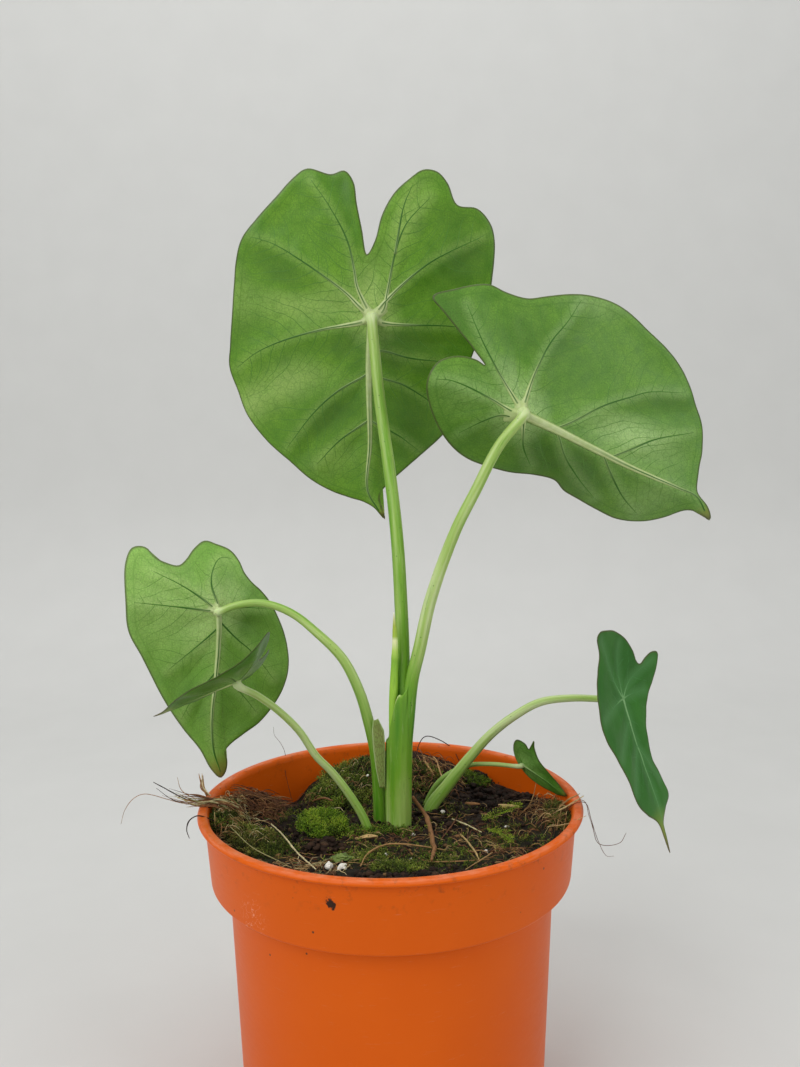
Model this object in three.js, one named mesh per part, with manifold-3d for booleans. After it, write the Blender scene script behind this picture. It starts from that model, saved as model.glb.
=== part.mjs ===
// Potted frydek alocasia: six arrow-shaped leaves on long stalks, a rolled new leaf, and a mossy
// root ball in a plastic nursery pot. Millimetres, +Z up. The origin is the centre of the pot's
// underside, so the plant stands on Z = 0, and -Y is the side that the plant is usually seen from.

import * as THREE from 'three';
import { mergeVertices } from 'three/addons/utils/BufferGeometryUtils.js';
import Module from 'manifold-3d';

const wasm = await Module();
wasm.setup();

// Driving dimensions

const GAP = 0.3; // clearance kept between pieces that touch
const SEAT = 0.35; // clearance under a piece that lies on the faceted soil

const pot = {
  height: 92,
  lipRadius: 52.5, // a standard 10.5 cm pot
  lipHeight: 1.4,
  lipWidth: 2.4,
  lipRound: 0.5,
  bandHeight: 18.6,
  bandTopRadius: 50.6,
  bandFootRadius: 49.1,
  bandStep: 0.6, // the ledge under the band rises by this much as it runs out
  bodyTopRadius: 44.4,
  bodyFootRadius: 41,
  cornerHeight: 4.5,
  cornerMiddle: [38.5, 1.1],
  footRadius: 36,
  wall: 1.2,
  channelInner: 15.5,
  channelOuter: 27,
  channelDepth: 2.5,
  channelSlope: 1.5,
  drainRadius: 4,
  drainCircle: 21.2,
  drainCount: 6,
  sides: 48,
};
const bandFoot = pot.height - pot.bandHeight;

const corm = { top: 70, height: 24, topRadius: 10.5, radius: 12 };
const cormSides = 24;
const stalkFoot = corm.top + GAP; // every leaf stalk begins here, and first goes straight up
const footRise = 5;

const bladeThickness = 0.6;
const bladeRings = [0.25, 0.5, 0.75, 1];
const midribRound = 3; // the fold along the midrib is this soft
const bendRadii = 2; // the stalk's last bend, below the blade, in radii of the stalk

// The soil surface is low in two pockets at the back and piled up against the wall elsewhere.
const soilLevel = 84;
const soilSwells = [
  { rise: 7, at: [2, 42], spread: [17, 20] },
  { rise: -3, at: [-34, 28], spread: [12, 12] },
  { rise: -1.5, at: [36, 28], spread: [12, 12] },
  { rise: 6, at: [-48, -2], spread: [10, 20] },
  { rise: 4.5, at: [48, -4], spread: [10, 20] },
];
const frontRise = 0.0028; // mm of height per square mm of distance towards the front
const soilRings = [1, 0.86, 0.7, 0.54, 0.4, 0.27, 0.14];

const colours = {
  potPlastic: 0xc4501f,
  mix: 0x2e2118,
  cormSkin: 0x6b4a32,
  bladeUnder: 0x5f9a3c,
  bladeUpper: 0x2f6a2c,
  stalk: 0x83ad4d,
  newLeaf: 0xa6c93a,
  paperySheath: 0x9c8f5c,
  brightMoss: 0x6fa52a,
  oliveMoss: 0x5f6b2a,
  straw: 0xc2a25f,
  bark: 0x7c5230,
  perlite: 0xe9e6dc,
  rootMat: 0x8a6b4c,
};

// Each leaf: where the stalk meets the blade, the way to its tip, the way its upper face looks,
// and its outline in the blade's own plane as [towards the tip, to its left]. Fold is the rise
// per mm away from the midrib, left and right, and twist is its change per mm towards the tip;
// cup and lobeLift bend the blade by the square of the distance, across and behind the stalk.
const leaves = [
  {
    name: 'leaf_1',
    attach: [-4.1, 25, 229],
    toTip: [-0.02, 0.3, -0.95],
    faces: [0, 0.95, 0.3],
    fold: [0.05, 0.05],
    cup: [0.002, 0.002],
    lobeLift: 0.003,
    points: 50,
    outline: [
      [64, -4], [60, -0.5], [58, 3], [57, 7], [55, 13], [51, 20], [45, 27], [39, 34], [31, 40],
      [24, 42.5], [16, 45], [10, 44.5], [0, 43], [-9, 42], [-16, 41], [-22, 39], [-28, 34],
      [-34, 28], [-39, 23], [-41.5, 19], [-40, 12], [-41, 8], [-38, 5.5], [-32, 4.5], [-25, 3],
      [-18, 1.5], [-22, -1], [-29, -3], [-35, -6.5], [-39, -11], [-41.5, -15], [-41, -19],
      [-38, -22], [-32, -25], [-31, -31], [-27, -35], [-22, -36.5], [-10, -36], [0, -34.5],
      [8, -32], [14, -30], [22, -28], [30, -26], [36, -22.5], [43, -15], [47, -10.5], [53, -4],
      [56, -2],
    ],
    stalk: {
      foot: [3, 1.3],
      route: [
        [3.4, 1.3, 100], [3.7, 1.3, 118.5], [3.9, 3, 132.4], [3.5, 4.5, 146.3],
        [2.7, 7.5, 162.8], [0.6, 13, 183.8], [-2.1, 18, 204.8], [-3.3, 20.8, 219],
      ],
      radii: [1.75, 1.85, 1.9, 1.9, 1.85, 1.8, 1.75, 1.65, 1.55],
      sides: 12,
      steps: 24,
    },
  },
  {
    name: 'leaf_2',
    attach: [37.8, 4, 197.7],
    toTip: [0.88, 0.26, -0.39],
    faces: [-0.24, 0.96, 0.12],
    fold: [0.8, 0.05],
    cup: [0.012, 0.001],
    lobeLift: 0.004,
    points: 50,
    outline: [
      [70, 4], [66, 1], [61, -1.5], [59.5, -5], [57, -14], [54, -20], [48, -26], [42, -31.5],
      [35, -35], [27, -37.5], [20, -39.5], [13, -40], [6, -38.5], [0, -36], [-6, -32.5],
      [-11, -29.5], [-17, -28.5], [-22, -28.5], [-26, -26.5], [-30, -23.5], [-35, -19],
      [-31, -16.5], [-25, -13.2], [-19, -10], [-15, -7.6], [-18, -8], [-23, -6.8],
      [-27, -3.5], [-28, 0.5], [-27, 4], [-22, 9], [-16, 13], [-10, 15.5], [-4, 16.5],
      [3, 16], [9, 15], [15, 13], [21, 12], [26, 13.5], [32, 14], [39, 14.5], [47, 14.5],
      [54, 12], [58, 8.5], [61, 4.5], [64, 3.5],
    ],
    stalk: {
      route: [
        [3.8, 0, 100], [4.9, -0.6, 112], [6.3, -1, 124.4], [8.4, -1.2, 133],
        [11.6, -1.5, 146.8], [18.7, -2, 165.9], [24.3, -2.2, 176.7], [30.7, -1.8, 188.7],
      ],
      radii: [1.8, 1.8, 1.8, 1.75, 1.65, 1.55, 1.5, 1.45, 1.4],
      sides: 12,
      steps: 22,
    },
  },
  {
    name: 'leaf_3',
    attach: [-48.9, 8, 143.3],
    toTip: [-0.04, 0.13, -0.99],
    faces: [-0.5, 0.86, 0.13],
    fold: [0.1, 0.1],
    cup: [0.002, 0.002],
    lobeLift: 0.022,
    points: 42,
    outline: [
      [51, -0.5], [49.5, -2], [46, -2.5], [43, -1.8], [41, -4], [39, -8], [36, -14], [30, -20],
      [23, -23], [15, -23], [8, -21], [0, -17], [-4, -14], [-7, -11], [-10, -9], [-13, -8],
      [-16, -6], [-18, -2], [-19, 1], [-17, 4.5], [-14.5, 7], [-13, 9.5], [-14, 13],
      [-15.5, 15.5], [-18, 17.5], [-18, 21], [-14, 23.5], [-5, 24.5], [4, 24], [11, 21],
      [17, 18.5], [23, 16], [29, 13], [35, 9.5], [41, 5.5], [48, 2.2],
    ],
    stalk: {
      foot: [-3.6, 2.8],
      route: [
        [-3.3, 3, 88.3], [-4.1, 2.4, 103], [-5.9, 1.9, 112], [-8.5, 1.8, 121.2],
        [-13.1, 2, 130.4], [-20.6, 3, 137.9], [-26.2, 4, 142.3], [-31.9, 4.5, 144.9],
        [-37.3, 5, 145.8], [-43.6, 4.8, 145],
      ],
      radii: [1.7, 1.75, 1.75, 1.7, 1.55, 1.45, 1.35, 1.2, 1.1, 1.05, 1],
      sides: 10,
      steps: 26,
    },
  },
  {
    name: 'leaf_4',
    attach: [-39.2, -16, 128.3],
    toTip: [-0.91, -0.19, -0.36],
    faces: [-0.37, 0.26, 0.9],
    fold: [0.1, 0.1],
    cup: [0, 0],
    lobeLift: 0.04,
    points: 30,
    outline: [
      [22, 0.5], [20, 1.5], [18, 3.5], [15.5, 7], [12, 10], [7, 12.5], [0, 13.5], [-6, 13.5],
      [-10.5, 12], [-12.5, 9], [-11.5, 5], [-7.5, 1], [-9.5, -4], [-10.5, -7], [-9.5, -10.5],
      [-6, -13], [0, -14], [7, -13], [13, -10.5], [17, -7], [19, -3.5], [20.5, -1.2],
    ],
    stalk: {
      foot: [-4.9, -3.4],
      route: [
        [-6.9, -2.4, 85.2], [-10.9, -3, 92.9], [-15.9, -4, 100.2], [-20, -5.5, 105.2],
        [-24.3, -7.2, 112.6], [-29.8, -9.6, 119.1], [-34.6, -13, 123.9],
      ],
      radii: [1.2, 1.25, 1.15, 1.05, 1, 1, 0.95, 0.9],
      sides: 8,
      steps: 18,
    },
  },
  {
    name: 'leaf_5',
    attach: [63.4, -4, 119.4],
    toTip: [0.24, -0.24, -0.94],
    faces: [0.7, -0.63, 0.34],
    fold: [0.12, 0.2],
    twist: [-0.008, 0],
    cup: [0, 0],
    lobeLift: 0.012,
    points: 38,
    outline: [
      [41, 0], [37, 0.5], [34, 1], [31, 5], [28, 9.5], [24, 9], [19.5, 7.2], [14, 6.3],
      [7.5, 7.5], [1.6, 11.8], [-2.6, 16], [-6.5, 19.2], [-9.4, 19.6], [-10, 17], [-9, 13.8],
      [-7.6, 10.8], [-8.8, 8.9], [-12, 7.5], [-15.7, 4.2], [-18, -1], [-18.5, -6],
      [-18.4, -10.4], [-17, -12.6], [-13, -11], [-9, -13.5], [-5, -16], [-1, -18.7],
      [4, -20], [8, -19], [14, -15.6], [21, -12.2], [26, -10.5], [29.5, -6.5], [33, -1.5],
      [37, -0.8],
    ],
    stalk: {
      foot: [7.4, 3.4],
      route: [
        [9.8, 7.4, 81], [11.6, 9, 85.5], [16.1, 9, 91.4], [22.8, 8, 100.1],
        [28.7, 6, 107.3], [35.4, 3, 113.5], [42, 0.5, 117.7], [50.3, -0.3, 118.9],
        [57, -0.8, 118.8],
      ],
      radii: [1.7, 1.8, 1.9, 1.65, 1.4, 1.25, 1.15, 1.05, 0.95, 0.9],
      sides: 10,
      steps: 22,
    },
  },
  {
    name: 'leaf_6',
    attach: [38.5, 10, 97.1],
    toTip: [0.67, -0.65, -0.35],
    faces: [0.74, 0.55, 0.4],
    fold: [0.1, 0.1],
    cup: [0, 0],
    lobeLift: 0.02,
    points: 26,
    outline: [
      [15.5, 0.4], [13, 2.6], [10, 3.6], [6, 4.5], [2.5, 4.6], [-0.8, 3.2], [-3, 0.8],
      [-4.4, -2.5], [-4.2, -5.5], [-2.6, -7.8], [0, -8], [1.3, -7], [2, -8.8], [2.8, -11.2],
      [3.1, -8.8], [5, -6], [8.5, -3.6], [13, -1.4],
    ],
    stalk: {
      foot: [4.5, 7.4],
      route: [
        [8.8, 12.6, 82], [12.6, 13.4, 89.4], [16.4, 13, 93.3], [22.7, 12, 96.4],
        [29.2, 10.8, 97.1],
      ],
      radii: [0.8, 0.8, 0.75, 0.68, 0.62, 0.6],
      sides: 8,
      steps: 14,
    },
  },
];

// The foot of leaf 2's stalk is a sheath wrapped round leaf 1's stalk and the new leaf.
const sheath = {
  route: [[1.9, 0.4, stalkFoot], [2.1, 0.4, 92], [2.9, 0.4, 119.6]],
  radii: [3.4, 3.6, 3.75],
  sides: 16,
  steps: 8,
};
const newLeaf = {
  route: [
    [0.4, -1, stalkFoot], [0.9, -1, 100], [1, -1, 118.5], [1.7, -0.9, 135], [1.5, -0.6, 143.4],
  ],
  radii: [1, 1.1, 1.2, 1.15, 0.15],
  sides: 8,
  steps: 14,
};

// A dead flap in front of leaf 3's stalk, as an [x, z] outline.
const paperySheath = {
  y: -0.25,
  thickness: 0.35,
  outlinePoints: 24,
  outline: [
    [-3.1, 95], [-1.5, 96], [-1.45, 108], [-1.6, 111.5], [-3, 113.8], [-4.6, 113.6],
    [-5.2, 111], [-4.6, 103],
  ],
};

// What grows and lies on the soil: cushions of moss, crumbs, straws and roots.
const cushions = [
  {
    name: 'bright_moss_cushion', colour: colours.brightMoss,
    at: [-19, -2.5], size: [6.5, 8.5], height: 4.5, turn: 0.2,
  },
  {
    name: 'olive_moss_mound', colour: colours.oliveMoss,
    at: [-15.5, 21.5], size: [9.5, 11], height: 4, turn: 0.3,
  },
  {
    name: 'back_moss_mound', colour: colours.oliveMoss,
    at: [9.5, 27], size: [7, 8], height: 3, turn: 0,
  },
  {
    name: 'wall_moss_cushion', colour: colours.brightMoss,
    at: [26, 33], size: [5, 4.5], height: 3.5, turn: -0.6,
  },
  {
    name: 'left_moss_carpet', colour: colours.oliveMoss,
    at: [-34.5, -16], size: [8, 9.5], height: 2.4, turn: 0.5,
  },
  {
    name: 'front_moss_cushion', colour: colours.oliveMoss,
    at: [2, -37], size: [6, 4.5], height: 2.2, turn: 0,
  },
  {
    name: 'soil_clod', colour: colours.mix,
    at: [-16, -20.5], size: [6, 5], height: 3, turn: 0.2,
  },
  {
    name: 'liverwort_lump', colour: colours.oliveMoss,
    at: [-11.5, -29.5], size: [4, 2.4], height: 1.8, turn: 0.1,
  },
  {
    name: 'root_mat', colour: colours.rootMat,
    at: [-38.5, 11], size: [5.5, 9], height: 5, turn: 0.35,
  },
  {
    name: 'dry_leaf_flake', colour: colours.straw,
    at: [-6.5, -12], size: [2.6, 1.2], height: 0.7, turn: 0.2,
  },
];
const cushionRings = [0.35, 0.7, 1];
const cushionPoints = 16;
const cushionWobble = 0.07; // how far three soft corners push a cushion's rim out
const cushionEdge = 0.6; // thickness where a cushion thins out
const cushionRoot = 2; // a cushion is made this much too deep, then cut to fit the soil

// Thin things that lie on the soil: plan points as [x, y, height of their underside above it].
const strands = [
  {
    name: 'straw_front_left', radius: 0.45, colour: colours.straw,
    route: [[-32, -3, 0.5], [-25.5, -15, 3.2], [-21, -29, 1.2], [-17, -39, 0.5]],
  },
  {
    name: 'straw_right_1', radius: 0.4, colour: colours.straw,
    route: [[18.6, -10, 0.4], [20.2, -18, 0.4], [21.3, -26, 0.4], [21.6, -33, 0.4]],
  },
  {
    name: 'straw_right_2', radius: 0.4, colour: colours.straw,
    route: [[25.5, -25, 0.4], [23.4, -32, 1.4], [17.6, -41, 0.5]],
  },
  {
    name: 'straw_right_3', radius: 0.35, colour: colours.straw,
    route: [[17.1, 1.5, 0.4], [20.8, -3.4, 0.4], [24.4, -8.4, 0.4]],
  },
  {
    name: 'rim_straw_1', radius: 0.45, colour: colours.straw,
    route: [[44.6, -4.5, -0.2], [47.3, -8.6, 4.4], [50, -12.5, 8.2]],
  },
  {
    name: 'rim_straw_2', radius: 0.4, colour: colours.straw,
    route: [[36, 1, 0.4], [40, 6, 1.6], [42.5, 12, 5.5]],
  },
  {
    name: 'tan_root_loop', radius: 0.5, colour: colours.straw,
    route: [[-6.8, -35.6, 0.4], [-5.2, -27, 1.2], [-0.4, -21.5, 1.8], [6, -21.5, 1.4], [14, -22.5, 0.4]],
  },
  {
    name: 'brown_surface_root', radius: 0.9, colour: colours.bark,
    route: [[9.4, 3.6, 0.4], [10.4, -4, 0.4], [10.7, -12, 0.5], [10.9, -17.6, 0.4]],
  },
  {
    name: 'feather_moss_sprig_1', radius: 0.9, colour: colours.brightMoss,
    route: [[26, -3, 0.5], [31, -0.6, 0.8], [35.6, 2.6, 0.5]],
  },
  {
    name: 'feather_moss_sprig_2', radius: 0.8, colour: colours.brightMoss,
    route: [[26.4, -11.6, 0.5], [29, -15.6, 0.8], [30.6, -20, 0.5]],
  },
];
const strandSides = 6;
const strandSteps = 8;

// Grains of perlite as [x, y, radius].
const grains = [[-14.4, -36.5, 1.3], [-10.4, -38.6, 1.5], [5.2, -30.2, 0.8], [14.6, 6.6, 0.8]];

// Twigs caught over the lip, which stand clear of the soil.
const twigTaper = 0.6; // a twig's tip is this much of its foot
const rimTwigs = [
  {
    name: 'rim_twig', radius: 0.7, colour: colours.bark,
    route: [[-42, -3, 91], [-47, -3.5, 92.9], [-53, -4, 93.3], [-59, -5, 97.6]],
  },
  {
    name: 'rim_stub', radius: 0.8, colour: colours.rootMat,
    route: [[-51.3, 1.4, 93.2], [-53, 2, 96], [-53.8, 2.6, 99.4]],
  },
];

// General shape helpers

const vector = (p) => new THREE.Vector3(...p);

/** A geometry with shared vertices only, no flat triangles, and its faces pointing out. */
function closed(geometry) {
  const bare = geometry.clone();
  bare.deleteAttribute('normal');
  bare.deleteAttribute('uv');
  const merged = mergeVertices(bare, 1e-4);
  const position = merged.getAttribute('position');
  const index = merged.getIndex().array;
  const corners = [0, 1, 2].map(() => new THREE.Vector3());
  const kept = [];
  let volume = 0;
  for (let i = 0; i < index.length; i += 3) {
    const [a, b, c] = [index[i], index[i + 1], index[i + 2]];
    if (a === b || b === c || c === a) continue;
    [a, b, c].forEach((vertex, k) => corners[k].fromBufferAttribute(position, vertex));
    volume += corners[0].dot(corners[1].clone().cross(corners[2]));
    kept.push(a, b, c);
  }
  merged.setIndex(volume < 0 ? kept.reverse() : kept);
  merged.computeVertexNormals();
  return merged;
}

function toSolid(geometry) {
  const body = closed(geometry);
  return new wasm.Manifold(new wasm.Mesh({
    numProp: 3,
    vertProperties: Float32Array.from(body.getAttribute('position').array),
    triVerts: Uint32Array.from(body.getIndex().array),
  }));
}

function fromSolid(solid) {
  const { vertProperties, triVerts } = solid.getMesh();
  const geometry = new THREE.BufferGeometry();
  geometry.setAttribute('position', new THREE.Float32BufferAttribute(vertProperties, 3));
  geometry.setIndex([...triVerts]);
  return geometry;
}

/** Turns a closed [radius, height] profile about the Z axis. */
function turned(profile, sides) {
  const points = profile.map(([radius, height]) => new THREE.Vector2(radius, height));
  return new THREE.LatheGeometry(points, sides).rotateX(Math.PI / 2);
}

/** Reads a list of values, spread evenly from 0 to 1, at u. */
function along(values, u) {
  const place = u * (values.length - 1);
  const i = Math.min(Math.floor(place), values.length - 2);
  return THREE.MathUtils.lerp(values[i], values[i + 1], place - i);
}

/**
 * A turned rod of changing radius, bent onto a smooth curve through the route's points.
 * extra makes it that much thicker, and longer at both ends.
 */
function rod({ route, radii, sides, steps }, extra = 0) {
  const curve = new THREE.CatmullRomCurve3(route.map(vector));
  const frames = curve.computeFrenetFrames(steps);
  const profile = [new THREE.Vector2(0, 0)];
  for (let i = 0; i <= steps; i++) {
    profile.push(new THREE.Vector2(along(radii, i / steps) + extra, i));
  }
  profile.push(new THREE.Vector2(0, steps));
  const geometry = new THREE.LatheGeometry(profile, sides);
  const position = geometry.getAttribute('position');
  for (let k = 0; k < position.count; k++) {
    const i = Math.round(position.getY(k));
    const longer = { 0: -extra, [steps]: extra }[i] ?? 0;
    const point = curve.getPointAt(i / steps)
      .addScaledVector(frames.tangents[i], longer)
      .addScaledVector(frames.normals[i], position.getX(k))
      .addScaledVector(frames.binormals[i], position.getZ(k));
    position.setXYZ(k, point.x, point.y, point.z);
  }
  return geometry;
}

/**
 * A closed sheet over a rim that every point of the sheet can see from [0, 0].
 * low and high give the two faces' heights at (x, y), a fraction f of the way to the rim.
 */
function sheet(rim, rings, low, high) {
  const count = rim.length;
  const positions = [];
  for (const face of [low, high]) {
    positions.push(0, 0, face(0, 0, 0));
    for (const f of rings) {
      for (const [x, y] of rim) positions.push(x * f, y * f, face(x * f, y * f, f));
    }
  }
  const faceSize = 1 + rings.length * count;
  const at = (side, ring, k) => side * faceSize + 1 + ring * count + (k % count);
  const triangles = [];
  const quad = (a, b, c, d) => triangles.push(a, b, c, a, c, d);
  for (let k = 0; k < count; k++) {
    triangles.push(0, at(0, 0, k + 1), at(0, 0, k), faceSize, at(1, 0, k), at(1, 0, k + 1));
    for (let ring = 1; ring < rings.length; ring++) {
      quad(at(0, ring - 1, k), at(0, ring - 1, k + 1), at(0, ring, k + 1), at(0, ring, k));
      quad(at(1, ring - 1, k), at(1, ring, k), at(1, ring, k + 1), at(1, ring - 1, k + 1));
    }
    const last = rings.length - 1;
    quad(at(0, last, k), at(0, last, k + 1), at(1, last, k + 1), at(1, last, k));
  }
  const geometry = new THREE.BufferGeometry();
  geometry.setAttribute('position', new THREE.Float32BufferAttribute(positions, 3));
  geometry.setIndex(triangles);
  return geometry;
}

const plant = new THREE.Group();

function add(name, geometry, colour, { roughness = 0.6, parent = plant } = {}) {
  const material = new THREE.MeshStandardMaterial({ color: colour, roughness, metalness: 0 });
  const mesh = new THREE.Mesh(closed(geometry), material);
  mesh.name = name;
  parent.add(mesh);
  return mesh;
}

// The pot

/** Radius of the band's inner wall at height z. */
function bandInnerRadius(z) {
  const rise = (z - bandFoot) / pot.bandHeight;
  return THREE.MathUtils.lerp(pot.bandFootRadius, pot.bandTopRadius, rise) - pot.wall;
}

/** The outside of the pot's wall, from the axis out and up, as [radius, height]. */
const wallLine = [
  [0, 0],
  [pot.channelInner - pot.channelSlope, 0],
  [pot.channelInner, pot.channelDepth],
  [pot.channelOuter, pot.channelDepth],
  [pot.channelOuter + pot.channelSlope, 0],
  [pot.footRadius, 0],
  pot.cornerMiddle,
  [pot.bodyFootRadius, pot.cornerHeight],
  [pot.bodyTopRadius, bandFoot - pot.bandStep],
  [pot.bandFootRadius, bandFoot],
  [pot.bandTopRadius, pot.height - pot.lipHeight],
];

/** Moves an open [radius, height] line to its left by a distance, with mitred corners. */
function inset(line, distance) {
  const points = line.map(([radius, height]) => new THREE.Vector2(radius, height));
  const steps = points.slice(1).map((point, i) => point.clone().sub(points[i]).normalize());
  return points.map((point, i) => {
    const before = steps[Math.max(i - 1, 0)];
    const after = steps[Math.min(i, steps.length - 1)];
    const mitre = before.clone().add(after).divideScalar(1 + before.dot(after));
    return [point.x - mitre.y * distance, point.y + mitre.x * distance];
  });
}

function potProfile() {
  const { height, lipRadius, lipHeight, lipWidth, lipRound } = pot;
  const lip = [
    [lipRadius - lipRound / 2, height - lipHeight],
    [lipRadius, height - lipHeight + lipRound],
    [lipRadius - lipRound, height],
    [lipRadius - lipWidth, height],
  ];
  return [...wallLine, ...lip, ...inset(wallLine, pot.wall).reverse()];
}

function drainHoles() {
  const drillLength = 12;
  const drill = new THREE.CylinderGeometry(pot.drainRadius, pot.drainRadius, drillLength, 16)
    .rotateX(Math.PI / 2);
  return Array.from({ length: pot.drainCount }, (_, i) => {
    const angle = (i + 0.5) * 2 * Math.PI / pot.drainCount;
    const [x, y] = [pot.drainCircle * Math.cos(angle), pot.drainCircle * Math.sin(angle)];
    return drill.clone().translate(x, y, 0);
  });
}

function potBody() {
  let shell = toSolid(turned(potProfile(), pot.sides));
  for (const hole of drainHoles()) shell = shell.subtract(toSolid(hole));
  return fromSolid(shell);
}

// The root ball

function soilHeight(x, y) {
  let height = soilLevel + (y < 0 ? frontRise * y * y : 0);
  for (const { rise, at, spread } of soilSwells) {
    height += rise * Math.exp(-(((x - at[0]) / spread[0]) ** 2) - ((y - at[1]) / spread[1]) ** 2);
  }
  return height;
}

/** The mix fills the pot from its floor; its rim and top rings are then lifted to the surface. */
function mixBlank() {
  const edge = bandInnerRadius(soilLevel) - GAP;
  const profile = [
    ...inset(wallLine, pot.wall + GAP).slice(0, -1),
    ...soilRings.map((f) => [edge * f, pot.height]),
    [0, pot.height],
  ];
  const blank = turned(profile, pot.sides);
  const position = blank.getAttribute('position');
  for (let k = 0; k < position.count; k++) {
    if (position.getZ(k) < pot.height) continue;
    const [x, y] = [position.getX(k), position.getY(k)];
    const z = soilHeight(x, y);
    const stretch = (bandInnerRadius(z) - GAP) / edge;
    position.setXYZ(k, x * stretch, y * stretch, z);
  }
  return blank;
}

/** The corm's profile gives [share of its radius, share of its height below its top]. */
function cormBody(extra = 0) {
  const { top, height, topRadius, radius } = corm;
  const belly = [[0.55, 0.93], [0.9, 0.7], [1, 0.4]];
  const profile = [
    [0, top - height - extra],
    ...belly.map(([wide, deep]) => [radius * wide + extra, top - height * deep - extra]),
    [topRadius + extra, top + extra],
    [0, top + extra],
  ];
  return turned(profile, cormSides);
}

// Stalks, in the plant's own coordinates, and blades, each in its leaf's own frame

/** The leaf's axes: x to the tip, y to its left, z out of the upper face. */
function leafAxes(leaf) {
  const x = vector(leaf.toTip).normalize();
  const z = vector(leaf.faces);
  z.addScaledVector(x, -z.dot(x)).normalize();
  return { x, y: z.clone().cross(x), z };
}

/** The stalk's route ends square to the blade's underside. */
function stalkShape(leaf) {
  const down = leafAxes(leaf).z.negate();
  const below = (distance) => vector(leaf.attach).addScaledVector(down, distance).toArray();
  const end = bladeThickness / 2 + GAP;
  const { foot, route, radii } = leaf.stalk;
  const start = foot ? [[...foot, stalkFoot], [...foot, stalkFoot + footRise]] : [];
  return { ...leaf.stalk, route: [...start, ...route, below(bendRadii * radii.at(-1)), below(end)] };
}

/** Height of the blade's middle surface at (x, y) in the leaf's frame. */
function bladeRelief(leaf, x, y) {
  const side = y > 0 ? 0 : 1;
  const slope = leaf.fold[side] + (leaf.twist ? leaf.twist[side] * x : 0);
  const fold = slope * (Math.hypot(y, midribRound) - midribRound);
  const lobes = x < 0 ? leaf.lobeLift * x * x : 0;
  return fold + leaf.cup[side] * y * y + lobes;
}

function bladeBody(leaf) {
  const points = leaf.outline.map(([x, y]) => new THREE.Vector3(x, y, 0));
  const curve = new THREE.CatmullRomCurve3(points, true);
  const rim = curve.getSpacedPoints(leaf.points).slice(0, -1).map((p) => [p.x, p.y]);
  const face = (offset) => (x, y) => bladeRelief(leaf, x, y) + offset;
  return sheet(rim, bladeRings, face(-bladeThickness / 2), face(bladeThickness / 2));
}

function addLeaf(leaf, stalkGeometry) {
  add(`${leaf.name}_stalk`, stalkGeometry, colours.stalk, { roughness: 0.45 });
  const { x, y, z } = leafAxes(leaf);
  const frame = new THREE.Group();
  frame.position.fromArray(leaf.attach);
  frame.quaternion.setFromRotationMatrix(new THREE.Matrix4().makeBasis(x, y, z));
  add(`${leaf.name}_blade`, bladeBody(leaf), colours.bladeUnder, { roughness: 0.5, parent: frame });
  plant.add(frame);
}

// Ground cover

function cushionBody({ at, size, height, turn }) {
  const rim = Array.from({ length: cushionPoints }, (_, k) => {
    const angle = k * 2 * Math.PI / cushionPoints;
    const uneven = 1 + cushionWobble * Math.sin(3 * angle + at[0]);
    const [x, y] = [size[0] * uneven * Math.cos(angle), size[1] * uneven * Math.sin(angle)];
    return [x * Math.cos(turn) - y * Math.sin(turn), x * Math.sin(turn) + y * Math.cos(turn)];
  });
  const ground = (x, y) => soilHeight(at[0] + x, at[1] + y) + GAP;
  const low = (x, y) => ground(x, y) - cushionRoot;
  const dome = (f) => (height - cushionEdge) * Math.sqrt(1 - f * f);
  const high = (x, y, f) => ground(x, y) + cushionEdge + dome(f);
  const whole = sheet(rim, cushionRings, low, high).translate(at[0], at[1], 0);
  return fromSolid(toSolid(whole).subtract(raisedMix));
}

function strandBody({ route, radius }) {
  const lifted = route.map(([x, y, lift]) => [x, y, soilHeight(x, y) + lift + radius]);
  return rod({ route: lifted, radii: [radius, radius], sides: strandSides, steps: strandSteps });
}

function grainBody([x, y, radius]) {
  return new THREE.IcosahedronGeometry(radius, 1).translate(x, y, soilHeight(x, y) + radius + SEAT);
}

function paperySheathBody() {
  const { y, thickness, outline, outlinePoints } = paperySheath;
  const corners = [...outline, outline[0]].map(([x, z]) => new THREE.Vector2(x, z));
  const edge = new THREE.SplineCurve(corners).getPoints(outlinePoints).slice(0, -1);
  return new THREE.ExtrudeGeometry(new THREE.Shape(edge), { depth: thickness, bevelEnabled: false })
    .rotateX(Math.PI / 2)
    .translate(0, y, 0);
}

// Assembly

const stalks = Object.fromEntries(leaves.map((leaf) => [leaf.name, stalkShape(leaf)]));
const grown = (shape) => toSolid(rod(shape, GAP));

const sheathedStalk = toSolid(rod(stalks.leaf_2))
  .add(toSolid(rod(sheath)))
  .subtract(grown(stalks.leaf_1))
  .subtract(grown(newLeaf));

const wholeMix = toSolid(mixBlank());
const raisedMix = wholeMix.translate([0, 0, GAP]);
let mix = wholeMix.subtract(toSolid(cormBody(GAP)));
for (const shape of [...Object.values(stalks), sheath, newLeaf]) mix = mix.subtract(grown(shape));

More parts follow.
